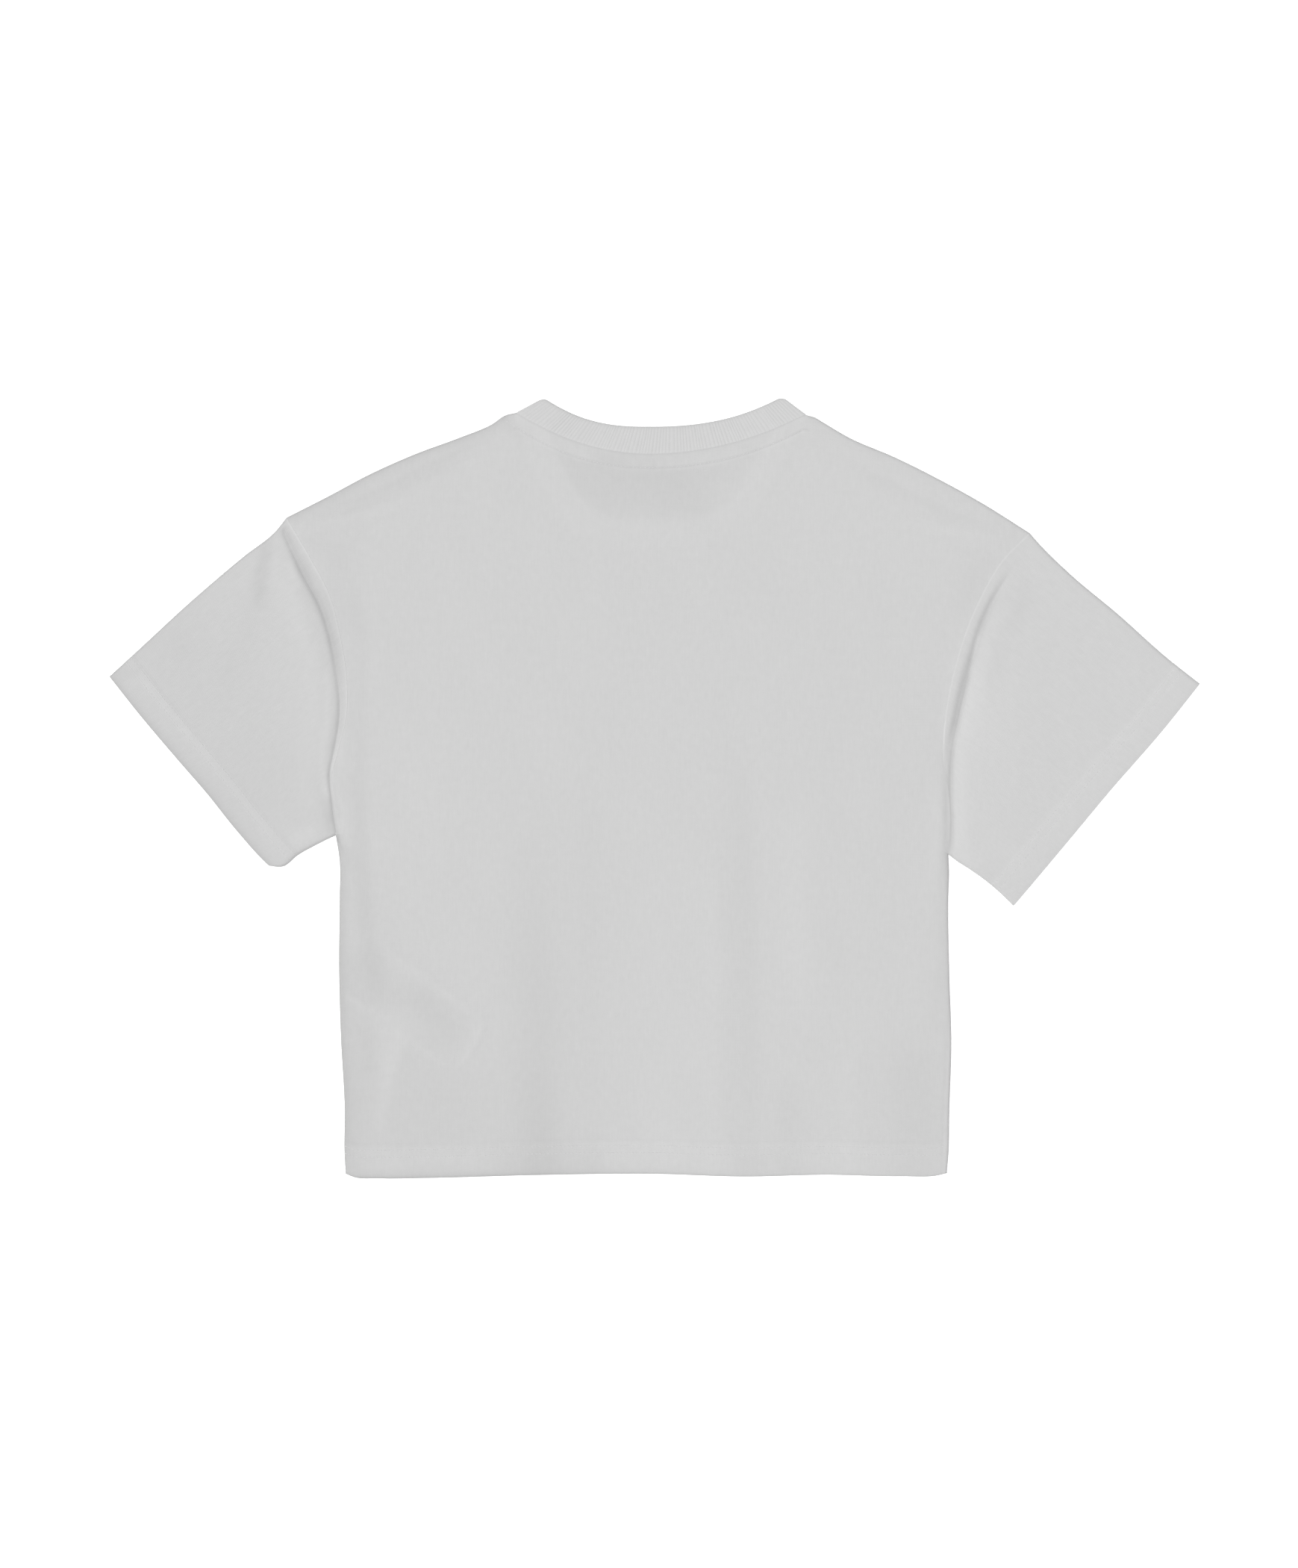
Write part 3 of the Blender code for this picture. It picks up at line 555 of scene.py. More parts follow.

# %% [markdown]
# ## Painted light and shade
#
# White jersey is thin enough to let light through, and the lamp shades every crease. Here
# both are also painted into the cloth's colour. Each crease has a tone, drawn as the creases
# are, but as a share of the cloth's lightness: painted shade in its hollows and painted light
# beside them. The painted tone also follows what lies beneath: painted shade where no layer
# lies in the neck opening, painted light over the thick rib around it and on a doubled hem,
# and painted shade at the fold at a side.

# %% Painted light and shade of the body and of the sleeves
# painted shade (below 0) and painted light (above 0) along the body's creases, as shares of its
# lightness
BODY_PAINTED_SHADING = (
    Fold("drape_left", ((-80, 30), (-76, -140), (-79, -430)), 17, -0.048, 210),
    Fold("drape_left_low", ((-75, -180), (-74, -430)), 17, -0.026, 60),
    Fold("drape_left_edge", ((-44, 20), (-45, -430)), 13, -0.018, 60),
    Fold("drape_middle", ((26, 20), (22, -100), (12, -430)), 21, 0.009, 90),
    Fold("drape_middle_right", ((37, -30), (40, -430)), 8, 0.015, 40),
    Fold("drape_right", ((56, 60), (62, -80), (68, -430)), 8, -0.026, 110),
    Fold("drape_between", ((93, 10), (97, -80), (98, -178)), 13, 0.020, 50),
    Fold("hollow_between", ((93, -184), (95, -360)), 14, -0.026, 35),
    Fold("ridge_low_right", ((131, -150), (134, -430)), 8, 0.008, 40),
    Fold("hollow_right", ((178, -152), (175, -430)), 21, -0.040, 40),
    Fold("side_right", ((195, -38), (194, -140)), 6, -0.025, 18),
    Fold("side_line_left", ((-194, 130), (-194.5, -5), (-191, -75), (-187, -112)), 4.2, -0.026,
         30),
    Fold("side_wide_left", ((-188, -30), (-186, -135)), 14, -0.014, 30),
    Fold("side_low_left", ((-202, -112), (-199, -160), (-200, -300)), 9, -0.026, 25),
    Fold("chest_side_left", ((-160, 60), (-158, -90)), 22, 0.010, 50),
    Fold("low_left", ((-150, -150), (-142, -430)), 44, -0.036, 60),
    Fold("side_low_line_left", ((-188, -150), (-188, -245)), 5, -0.016, 15),
    Fold("low_ridge_left", ((-168, -152), (-176, -190), (-188, -240)), 5, 0.026, 22),
    Fold("imprint_hollow", ((-154, -141), (-138, -160)), 12, -0.050, 0),
    Fold("imprint_side", ((-194, -118), (-178, -138)), 11, -0.040, 0),
    Fold("imprint_corner", ((-190, -96), (-186, -128), (-190, -152)), 7, -0.030, 15),
    Fold("side_spot_left", ((-193, -146), (-192, -196)), 5, -0.022, 12),
    Fold("imprint_upper", ((-186, -102), (-152, -127), (-112, -155)), 2.5, 0.012, 16),
    Fold("imprint_end", ((-113, -153), (-119, -168), (-133, -189)), 2.5, 0.026, 9),
    Fold("imprint_lower", ((-131, -189), (-155, -173), (-176, -159)), 3.0, 0.015, 16),
    Fold("side_nick_left", ((-207, -138), (-200, -142), (-190, -147)), 2.0, 0.026, 5),
    Fold("neck_point_left", ((-102, 247), (-88, 237)), 6, -0.026, 0),
    Fold("shoulder_left", ((-98, 238), (-150, 213), (-200, 190), (-243, 177)), 5, -0.032, 60),
    Fold("shoulder_glow_left", ((-150, 196), (-200, 182), (-238, 175)), 4, 0.008, 25),
    Fold("shoulder_under_left", ((-234, 173), (-190, 172)), 8, -0.014, 10),
    Fold("shoulder_dim_left", ((-216, 172), (-208, 140), (-200, 95)), 12, -0.022, 25),
    Fold("shoulder_right", ((104, 233), (150, 210), (200, 187), (243, 172)), 5, -0.006, 60),
    Fold("shoulder_glow_right", ((180, 176), (212, 171), (240, 170)), 4.5, 0.015, 16),
    Fold("shoulder_dim_right", ((230, 162), (212, 140), (205, 105)), 12, -0.022, 25),
    Fold("neck_opening", ((-34, 214), (14, 209)), 14, -0.017, 0),
    Fold("neck_opening_right", ((60, 212), (42, 199)), 9, 0.014, 0),
    Fold("shoulder_right_wide", ((90, 205), (170, 160)), 40, 0.007, 0),
    Fold("tape_right", ((-4, 217), (30, 219), (66, 229)), 4.5, 0.020, 14),
    Fold("tape_end_right", ((70, 231), (98, 246)), 5, -0.018, 6),
    Fold("tape_left", ((-70, 234), (-58, 228), (-42, 222)), 4, 0.018, 6),
    Fold("tape_end_left", ((-100, 247), (-76, 236)), 5, -0.014, 6),
    Fold("tape_spot", ((-36, 220.5), (-24, 220)), 3.6, -0.022, 0),
    Fold("side_dim_left", ((-213, -20), (-211, -170), (-208, -262)), 7, -0.045, 30, 0.0, 1.0),
    Fold("underarm_fold_left", UNDERARM_LEFT, 1.6, -0.060, 6),
    Fold("underarm_fold_right", UNDERARM_RIGHT, 1.8, -0.060, 8),
    Fold("body_edge_dim_left", ((-213.5, 24), (-214, 0), (-211.5, -26)), 2.6, -0.032, 8),
    Fold("armhole_dim_left", ((-230, 164), (-212, 159)), 8, -0.018, 0),
    Fold("side_low_right", ((194, -118), (188, -172)), 10, -0.022, 15),
    Fold("hem_light_left", ((-186, -250), (-150, -250), (-116, -249)), 10, 0.016, 8),
    Fold("hem_dim_left", ((-112, -247), (-30, -247)), 12, -0.022, 10),
    Fold("hem_dim_right", ((48, -247), (92, -247)), 9, -0.015, 8),
)
# painted shade in the armhole valleys and creases, painted light on the ridges and flanks beside
# them
SLEEVE_PAINTED_SHADING = (
    Fold("valley_left", VALLEY_LEFT, 2.0, -0.070, 6, 0.4, 1.5),
    Fold("valley_left_upper", VALLEY_LEFT[:5], 4.6, -0.095, 50, 0.35),
    Fold("valley_left_lift", ((-212, 46), (-214.3, 26), (-217.8, 2)), 2.5, 0.072, 12),
    Fold("valley_left_knee", ((-215.5, 27), (-219.4, 11), (-219.2, -8)), 2.2, 0.085, 6),
    Fold("underarm_fold_left", UNDERARM_LEFT, 1.6, -0.050, 6),
    Fold("valley_left_top", ((-250, 178), (-244, 162)), 2.5, -0.040, 4),
    Fold("flank_left", ((-220.5, 84), (-218.4, 60), (-219, 42), (-222, 22), (-221.4, 4),
                        (-220, -8)), 2.6, 0.042, 12),
    Fold("flank_left_upper", ((-247, 156), (-240.5, 141), (-236, 131)), 2.6, 0.036, 8),
    Fold("strip_left", ((-246, 176), (-238, 158), (-228, 138)), 3, -0.030, 10),
    Fold("valley_right", VALLEY_RIGHT, 2.1, -0.120, 45, -0.5, 1.5),
    Fold("valley_right_low", ((216, 102), *VALLEY_RIGHT[2:5]), 1.9, -0.120, 20, -0.5, 1.5),
    Fold("underarm_fold_right", UNDERARM_RIGHT, 1.6, -0.090, 12),
    Fold("flank_right", ((218.5, 106), (215.8, 98), (212.4, 84), (210.2, 72)), 1.6, 0.065, 8),
    Fold("flank_right_inner", ((213.6, 106), (211.6, 98), (208.2, 84), (206.2, 73)), 1.5, 0.045,
         8),
    Fold("seam_line_right", ((194.2, 48), (193.6, 32), (194.4, 20), (196.6, 8)), 0.9, 0.060, 5),
    Fold("dim_left", ((-318, 88), (-282, 0)), 48, -0.030, 0),
    Fold("ridge_right", ((240, 128), (226, 100), (216, 68), (209, 35), (206, 0), (206, -90)),
         12, 0.046, 70),
    Fold("glow_right", ((228, 80), (222, 30), (222, -60)), 22, 0.018, 20),
    Fold("ridge_right_low", ((226, 100), (217, 55), (214, -30)), 4.5, 0.016, 15),
    Fold("crease_left", ((-256, 174), (-260.5, 150), (-266, 116)), 4.5, -0.075, 18),
    Fold("crease_left_low", ((-266, 122), (-280, 82)), 13, -0.020, 0),
    Fold("cuff_lift_left", ((-346, 78), (-307.6, 32), (-253, -33)), 3, 0.018, 8),
    Fold("corner_left", ((-361, 78), (-350, 78)), 5, -0.035, 0),
    Fold("wave_left", ((-322, 112), (-308, 80)), 6, -0.012, 15),
    Fold("underarm_left", ((-222, -27), (-234, -31), (-247, -37)), 6.5, 0.044, 8),
    Fold("underarm_spot_left", ((-219, -4), (-217, -20), (-213, -36)), 4.5, -0.045, 10),
    Fold("underarm_lift_left", ((-218.8, 7), (-218, -4), (-216, -17)), 1.7, 0.050, 5),
    Fold("underarm_hollow_left", ((-219, -17), (-217.6, -27)), 2.4, -0.035, 0),
    Fold("underarm_right", ((202, -44), (220, -54)), 6, 0.012, 6),
)
# painted shade over the neck opening, painted light over the front's rib ring and on a doubled
# hem
HALF_MOON_SHADE = -0.034
RING_LIGHT = 0.008
HEM_LIGHT = 0.014
EDGE_SHADE_LEFT, EDGE_SHADE_RIGHT = -0.17, -0.035  # painted shade at the garment's left and right edges
EDGE_SHADE_REACH = 2.8
EDGE_SHADE_SPREAD = 400  # the width across which the one turns into the other


def painted_edge_shade(x, from_edge):
    """Painted shade along an edge, which fades with the distance from it. It is painted
    darker on the edges on the left than on those on the right."""
    side = smooth_step(x / EDGE_SHADE_SPREAD + 0.5)
    return (EDGE_SHADE_LEFT + (EDGE_SHADE_RIGHT - EDGE_SHADE_LEFT) * side) * np.exp(-from_edge / EDGE_SHADE_REACH)


def painted_shading_of(x, y, folds, doubled_share, from_edge):
    """1, plus the painted light and shade of the folds, of the layers beneath, of a hem and of an
    edge.
    """
    tone = 1 + sum(fold_height(fold, x, y) for fold in folds)
    tone = tone + HALF_MOON_SHADE * over_neck(x, y) + RING_LIGHT * over_ring(x, y)
    return tone + HEM_LIGHT * doubled_share + painted_edge_shade(x, from_edge)


print(len(BODY_PAINTED_SHADING), "tones of the body and", len(SLEEVE_PAINTED_SHADING), "of the sleeves")

# %% [markdown]
# ## A wall of cloth as a mesh
#
# A sheet without thickness shows a paper edge. So each piece here has an outer and an inner
# face, a wall apart, joined round the edge. The points are numpy arrays that go into the mesh
# in one call. Each point also keeps two facts for the material: where it lies on the cloth,
# in metres along and across the knit, and its tone, which holds painted light and shade.

# %% Mesh helpers
SHARP_ANGLE = 50  # degrees between two faces, from which their edge isn't shaded smooth


def mesh_object(name, points, quads, knit_place, tone):
    """A smooth mesh object from arrays, with the knit's place as its UV map, and the tone,
    which holds painted light and shade, as an attribute.
    """
    mesh = bpy.data.meshes.new(name)
    mesh.vertices.add(len(points))
    mesh.vertices.foreach_set("co", (points * MM).ravel())
    mesh.loops.add(quads.size)
    mesh.loops.foreach_set("vertex_index", quads.ravel())
    mesh.polygons.add(len(quads))
    mesh.polygons.foreach_set("loop_start", np.arange(0, quads.size, quads.shape[1]))
    mesh.update(calc_edges=True)
    mesh.validate()
    mesh.shade_smooth()
    mesh.set_sharp_from_angle(angle=np.radians(SHARP_ANGLE))
    layer = mesh.uv_layers.new(name="knit")
    layer.data.foreach_set("uv", (knit_place[quads.ravel()] * MM).ravel())
    mesh.attributes.new("tone", "FLOAT", "POINT").data.foreach_set("value", tone.ravel())
    return linked(name, mesh)


def raised(plan, height):
    """Points in the plane with their heights."""
    return np.concatenate([plan, np.asarray(height)[..., None]], axis=-1)


def plan_distance(points, edge):
    """Distance in the plane from each grid point to the point of the edge on its line."""
    return np.linalg.norm(points[..., :2] - edge[..., :2], axis=-1)


# %% Walls from grids and from loops
def panel_object(name, outer, inner, knit_place, tone):
    """A wall between two grids of points, closed round its edge."""
    rows, columns = outer.shape[:2]
    index = np.arange(rows * columns).reshape(rows, columns)
    up = np.stack([index[:-1, :-1], index[:-1, 1:], index[1:, 1:], index[1:, :-1]], axis=-1)
    up = up.reshape(-1, 4)
    rim = np.concatenate([index[0, :-1], index[:-1, -1], index[-1, :0:-1], index[:0:-1, 0]])
    after = np.roll(rim, -1)
    count = rows * columns
    edge = np.stack([rim, rim + count, after + count, after], axis=-1)
    quads = np.concatenate([up, up[:, ::-1] + count, edge])
    points = np.concatenate([outer.reshape(-1, 3), inner.reshape(-1, 3)])
    places = np.tile(knit_place.reshape(-1, 2), (2, 1))
    return mesh_object(name, points, quads, places, np.tile(tone.ravel(), 2))


def loop_object(name, sections, knit_place, tone):
    """A surface through closed loops of points, where the last loop joins the first."""
    count, around = sections.shape[:2]
    index = np.arange(count * around).reshape(count, around)
    end = np.roll(index, -1, axis=0)
    quads = np.stack([index, np.roll(index, -1, 1), np.roll(end, -1, 1), end], axis=-1)
    return mesh_object(name, sections.reshape(-1, 3), quads.reshape(-1, 4),
                       knit_place.reshape(-1, 2), tone)


# %% [markdown]
# ## The knit
#
# Jersey is a knit of tiny V shapes in columns, called wales. On this cloth a wale is 0.7 mm
# wide, too fine to model as threads over half a square metre. So the material draws it: two
# slanting legs for each wale give the bump, and a part of that bump is painted into the colour
# as light and shade. A slow noise gives the colour the slight unevenness of cotton yarn. The
# pattern reads the UV map, so it runs down each sleeve too.

# %% Nodes
def node(tree, kind, inputs, **settings):
    """A new node. Each of its inputs is linked to a socket or set to a number."""
    made = tree.nodes.new(kind)
    for key, value in settings.items():
        setattr(made, key, value)
    for key, value in inputs.items():
        if isinstance(value, bpy.types.NodeSocket):
            tree.links.new(value, made.inputs[key])
        else:
            made.inputs[key].default_value = value
    return made


def maths(tree, operation, *values):
    """The result of a maths node, for one or two values."""
    return node(tree, "ShaderNodeMath", dict(enumerate(values)), operation=operation).outputs[0]


def knit_noise(tree, place, scale, detail):
    """Noise from -0.5 to 0.5 with its own scale across and along the knit, per metre."""
    mapped = node(tree, "ShaderNodeMapping", {"Vector": place, "Scale": (*scale, 1)}).outputs[0]
    noise = node(tree, "ShaderNodeTexNoise", {"Vector": mapped, "Scale": 1.0, "Detail": detail})
    return maths(tree, "SUBTRACT", noise.outputs["Fac"], 0.5)


def knit_axes(tree):
    """The place on the knit, as a vector and as its parts across and along."""
    place = node(tree, "ShaderNodeUVMap", {}, uv_map="knit").outputs[0]
    return place, *node(tree, "ShaderNodeSeparateXYZ", {0: place}).outputs[:2]


def finish_surface(tree, shader, height, bump, depth, shade, share):
    """The height as a bump, and a grey shade times the piece's tone, with its painted light and
    shade, times a share.
    """
    relief = node(tree, "ShaderNodeBump",
                  {"Height": height, "Strength": bump, "Distance": depth * MM})
    tree.links.new(relief.outputs[0], shader.inputs["Normal"])
    tone = node(tree, "ShaderNodeAttribute", {}, attribute_name="tone").outputs["Fac"]
    tint = node(tree, "ShaderNodeVectorMath",
                {0: (shade, shade, shade), "Scale": maths(tree, "MULTIPLY", tone, share)},
                operation="SCALE")
    tree.links.new(tint.outputs[0], shader.inputs["Base Color"])


# %% Jersey and rib
CLOTH_FINISH = {"Roughness": 0.95, "Sheen Weight": 0.08, "Sheen Roughness": 0.5,
                "Specular IOR Level": 0.2}
CROWN_SHARE, LEG_SHARE = 0.7, 0.3  # of the knit's height
KNIT_DEPTH = 0.12
# painted light on the knit's crowns and painted shade between them, as a share of its height
KNIT_RELIEF_SHADING = 0.012
STREAK_SCALE, STREAK_DETAIL = (900, 90), 2.0
MOTTLE_SCALE, MOTTLE_DETAIL = (260, 200), 4.0


def cloth_material(name, shade, wale, course, bump, streak, mottle):
    """Knitted cotton. Its height is a sine across each wale plus a slanting sine for the
    legs, and its colour is the shade times the tone, times 1 plus streaks, mottling and
    a part of the height, painted as light on the crowns and shade between them."""
    material, shader = surface(name, CLOTH_FINISH)
    tree = material.node_tree
    place, x, y = knit_axes(tree)
    in_wale = maths(tree, "PINGPONG", maths(tree, "DIVIDE", x, wale * MM), 0.5)
    slant = maths(tree, "ADD", maths(tree, "DIVIDE", y, course * MM), in_wale)
    leg = maths(tree, "SINE", maths(tree, "MULTIPLY", slant, 2 * np.pi))
    crown = maths(tree, "SINE", maths(tree, "MULTIPLY", in_wale, 2 * np.pi))
    height = maths(tree, "ADD", maths(tree, "MULTIPLY", crown, CROWN_SHARE),
                   maths(tree, "MULTIPLY", leg, LEG_SHARE))
    streaks = knit_noise(tree, place, STREAK_SCALE, STREAK_DETAIL)
    mottles = knit_noise(tree, place, MOTTLE_SCALE, MOTTLE_DETAIL)
    uneven = maths(tree, "ADD", maths(tree, "MULTIPLY", streaks, streak),
                   maths(tree, "MULTIPLY", mottles, mottle))
    share = maths(tree, "ADD", uneven, maths(tree, "MULTIPLY", height, KNIT_RELIEF_SHADING))
    share = maths(tree, "ADD", share, 1.0)
    finish_surface(tree, shader, height, bump, KNIT_DEPTH, shade, share)
    return material


jersey = cloth_material("jersey", shade=0.5325, wale=0.72, course=0.95, bump=0.5,
                        streak=0.06, mottle=0.066)
rib = cloth_material("rib", shade=0.539, wale=0.60, course=0.9, bump=0.35,
                     streak=0.055, mottle=0.05)
print("cloth:", jersey.name, "and", rib.name)

# %% [markdown]
# ## The thread
#
# Sewing thread is smoother than the knit, and it is two strands twisted together. From close
# by, the twist shows as slanting light and dark. So its height is one sine along a slant, and a
# part of that sine is painted into the colour as light and shade.

# %% Thread
THREAD_SHADE = 0.60
TWIST_LENGTH = 0.5
TWIST_SLANT = 1.5
TWIST_BUMP, TWIST_DEPTH = 0.4, 0.05
# painted light and shade along the twist
TWIST_SHADING = 0.04


def thread_material(name, shade):
    """Sewing thread: a sine along its slant gives the bump, and a part of it is painted into the
    colour as light and shade.
    """
    material, shader = surface(name, {"Roughness": 0.6})
    tree = material.node_tree
    _, x, y = knit_axes(tree)
    slant = maths(tree, "ADD", x, maths(tree, "MULTIPLY", y, TWIST_SLANT))
    turn = maths(tree, "MULTIPLY", slant, 2 * np.pi / (TWIST_LENGTH * MM))
    strands = maths(tree, "SINE", turn)
    share = maths(tree, "ADD", 1.0, maths(tree, "MULTIPLY", strands, TWIST_SHADING))
    finish_surface(tree, shader, strands, TWIST_BUMP, TWIST_DEPTH, shade, share)
    return material


thread = thread_material("thread", THREAD_SHADE)
print("thread:", thread.name)

# %% [markdown]
# ## The back and the front
#
# Both panels share their sides, armholes and shoulders, and differ in the neck. The lines of
# their grids crowd together near the edges, where the seams and hems are, and lie further
# apart in the plain middle. Both use the same lines along the armholes as the sleeves will,
# so that the two sides of a seam meet point by point.

# %% Lines of the grids
NECK_SHARE = (0.275, 0.772)  # where the neck begins and ends on a panel's top line
SIDE_SHARE = 0.5  # where a panel's side ends and its armhole begins
SIDE_FADE = 5  # how fast a panel's grid stops following its sides, so that it stays upright

side_lines = stations((24, 0.85), (46, 2.3), (90, 1.7), (64, 2.6), (2, 1))
armhole_lines = stations((3, 1), (203, 2.3), (16, 0.8))
sleeve_lines = stations((20, 0.7), (20, 1.4), (96, 2.4), (24, 0.8))
round_lines = 1 - armhole_lines[::-1]  # across a sleeve, from the overarm to the underarm
column_lines = stations((10, 0.8), (97, 1.7), (285, 2.7), (10, 0.8))
neck_from, neck_to = (np.abs(column_lines - share).argmin() for share in NECK_SHARE)
column_lines[[neck_from, neck_to]] = NECK_SHARE
print("a panel:", len(side_lines) + len(armhole_lines) - 1, "by", len(column_lines), "points")

# %% Plan of a panel
FAR = 1e6  # the distance from an edge that a point isn't beside


def body_plan(seam):
    """The grid of a body panel in the plane, as a Coons patch of hem, neck and shoulders."""
    first, last = NECK_SHARE
    u = column_lines
    top = np.concatenate([
        curve(SHOULDER_LEFT, u[:neck_from] / first),
        bow_points(seam, (u[neck_from:neck_to + 1] - first) / (last - first)),
        curve(SHOULDER_RIGHT, (1 - u[neck_to + 1:]) / (1 - last)),
    ])
    v = np.concatenate([side_lines * SIDE_SHARE,
                        SIDE_SHARE + armhole_lines[1:] * (1 - SIDE_SHARE)])
    left, right = (
        np.concatenate([side_line(SIDES, side, side_lines),
                        side_line(ARMHOLES, side, armhole_lines)[1:]])
        for side in ("left", "right")
    )
    return patch(curve(HEM_EDGE, u), top, left, right, u, v, SIDE_FADE)


def edge_distances(plan):
    """Distances of each grid point from the outer edges, from the armholes, from the neck
    seam and from the hem."""
    beside = np.minimum(plan_distance(plan, plan[:, :1]), plan_distance(plan, plan[:, -1:]))
    over, below = plan_distance(plan, plan[-1:]), plan_distance(plan, plan[:1])
    at_side = (np.arange(plan.shape[0]) < len(side_lines))[:, None]
    columns = np.arange(plan.shape[1])
    at_shoulder = ((columns < neck_from) | (columns > neck_to))[None]
    outer = np.minimum(np.where(at_side, beside, FAR), np.where(at_shoulder, over, FAR))
    armhole = np.where(at_side, FAR, beside)
    neck = np.where(at_shoulder, FAR, over)
    return np.minimum(outer, below), armhole, neck, below


# %% [markdown]
# ## Seams and stitched lines
#
# At the armhole both allowances are pressed towards the sleeve, so that the body's cloth dips
# to the seam and the sleeve's cloth starts with a thin ridge. A row of stitches pulls cloth
# into a shallow valley. The hems have two rows, 4.7 mm apart, from a machine with a twin
# needle. Under the neck a tape covers the seam inside, and one row holds its lower edge.

# %% Relief of seams
HEM_ROWS = (19.1, 14.4)
CUFF_ROWS = (19.4, 14.7)
ROW_WIDTH = 0.9
ROW_DEPTH = 0.06
ARMHOLE_DIP, ARMHOLE_DIP_WIDTH = 0.14, 0.9  # where the sleeve's edge covers the body
NECK_DIP, NECK_DIP_WIDTH = 0.2, 0.7
SEAM_SHADE, SEAM_SHADE_WIDTH = 0.05, 0.8  # painted shade along the line of a seam
TAPE_LIFT = 0.25
TAPE_REACH = 25  # the tape shows no further than this from the neck seam
TAPE_STEP = 1.2  # the width of the slope at its lower edge
TAPE_ROW_WIDTH = 0.7


def row_relief(distance, rows):
    """A shallow valley along each row of stitches."""
    return -ROW_DEPTH * sum(groove(distance - row, ROW_WIDTH) for row in rows)


def tape_band(x, y, from_neck):
    """1 on the band between the tape's stitches and the neck seam, and 0 below it."""
    return smooth_step(above_bow(TAPE_STITCH, x, y) / TAPE_STEP + 0.5) * (from_neck < TAPE_REACH)


def tape_relief(x, y, from_neck):
    """The neck tape's band, and the valley of its stitches."""
    stitched = groove(above_bow(TAPE_STITCH, x, y), TAPE_ROW_WIDTH) * (from_neck < TAPE_REACH)
    return TAPE_LIFT * tape_band(x, y, from_neck) - 2 * ROW_DEPTH * stitched


# %% The back
# painted light over the band where the tape lies beneath
TAPE_BAND_LIGHT = 0.022
# painted shade along the tape's row of stitches
TAPE_ROW_SHADE = 0.05
BELOW_TAPE_GLOW, BELOW_TAPE, BELOW_TAPE_WIDTH = 0.026, 1.4, 0.8  # a painted light line below its row
# painted light along the ridge at the armhole seam
ARMHOLE_GLOW, ARMHOLE_GLOW_WIDTH = 0.03, 0.7

back_plan = body_plan(BACK_SEAM)
outer_edge, armhole_edge, neck_edge, hem_edge = edge_distances(back_plan)
back_x, back_y = back_plan[..., 0], back_plan[..., 1]
back_hem = TURN_UP * doubled(hem_edge, HEM_DEPTH)
back_full = rounding(outer_edge)
rest_height = LAYER + back_hem + LAYER_GAP * back_full
back_height = (
    lay_height(back_x, back_y) + 2 * back_hem
    - ARMHOLE_DIP * groove(armhole_edge, ARMHOLE_DIP_WIDTH)
    - NECK_DIP * groove(neck_edge, NECK_DIP_WIDTH)
    + row_relief(hem_edge, HEM_ROWS) + tape_relief(back_x, back_y, neck_edge)
)
back_outer = raised(back_plan, rest_height + EDGE_WALL
                    + (back_height - rest_height - EDGE_WALL) * back_full)
back_inner = raised(back_plan, rest_height + (back_height - WALL - rest_height) * back_full)
# painted light and shade of the back's creases, layers, hem, edges, tape and seams
back_shading = painted_shading_of(back_x, back_y, BODY_PAINTED_SHADING, doubled(hem_edge, HEM_DEPTH, HEM_LINE),
                    outer_edge)
back_shading += TAPE_BAND_LIGHT * tape_band(back_x, back_y, neck_edge)
from_stitch = above_bow(TAPE_STITCH, back_x, back_y)
tape_lines = (BELOW_TAPE_GLOW * groove(from_stitch + BELOW_TAPE, BELOW_TAPE_WIDTH)
              - TAPE_ROW_SHADE * groove(from_stitch, TAPE_ROW_WIDTH))
back_shading += tape_lines * (neck_edge < TAPE_REACH)
back_shading += (ARMHOLE_GLOW * groove(armhole_edge, ARMHOLE_GLOW_WIDTH)
              - SEAM_SHADE * groove(neck_edge, SEAM_SHADE_WIDTH))
back = panel_object("back_cloth", back_outer, back_inner, back_plan, back_shading)
print("back:", back_plan.shape[:2], "points a face")

# %% The front
DENT_MOST = 0.6  # the most that the front's outer face rises off the table
EDGE_RISE = 0.2  # how much higher its inner face lies at the edge

front_plan = body_plan(FRONT_SEAM)
outer_edge, armhole_edge, neck_edge, hem_edge = edge_distances(front_plan)
front_x, front_y = front_plan[..., 0], front_plan[..., 1]
front_hem = TURN_UP * doubled(hem_edge, HEM_DEPTH)
front_full = rounding(outer_edge)
front_dent = (ARMHOLE_DIP * groove(armhole_edge, ARMHOLE_DIP_WIDTH)
              + NECK_DIP * groove(neck_edge, NECK_DIP_WIDTH) - row_relief(hem_edge, HEM_ROWS))
front_lift = lift(front_x, front_y)
front_under = front_dent + front_lift + (LAYER - EDGE_WALL) * (1 - front_full)
front_outer = raised(front_plan, np.minimum(front_under, DENT_MOST))
front_inner = raised(front_plan, WALL + front_hem + EDGE_RISE * (1 - front_full))
# painted light on the hem, painted shade at the edges, where the cloth lifts off the table, and
# along the seams
front_shading = (1 + HEM_LIGHT * doubled(hem_edge, HEM_DEPTH, HEM_LINE)
              + painted_edge_shade(front_x, outer_edge) + LIFT_SHADE * front_lift
              - SEAM_SHADE * (groove(armhole_edge, SEAM_SHADE_WIDTH)
                              + groove(neck_edge, SEAM_SHADE_WIDTH)))
front = panel_object("front_cloth", front_inner, front_outer, front_plan, front_shading)
print("front:", front_plan.shape[:2], "points a face")

# %% [markdown]
# ## The sleeves
#
# A sleeve is a tube, and laid flat it is a tube pressed to two layers. Going round it once
# gives a loop of points: over the top from the overarm to the underarm, round the fold, and
# back underneath. The tube's wall is a second loop inside the first. Joining the outer loops
# from the armhole to the cuff and the inner ones back again closes the wall.

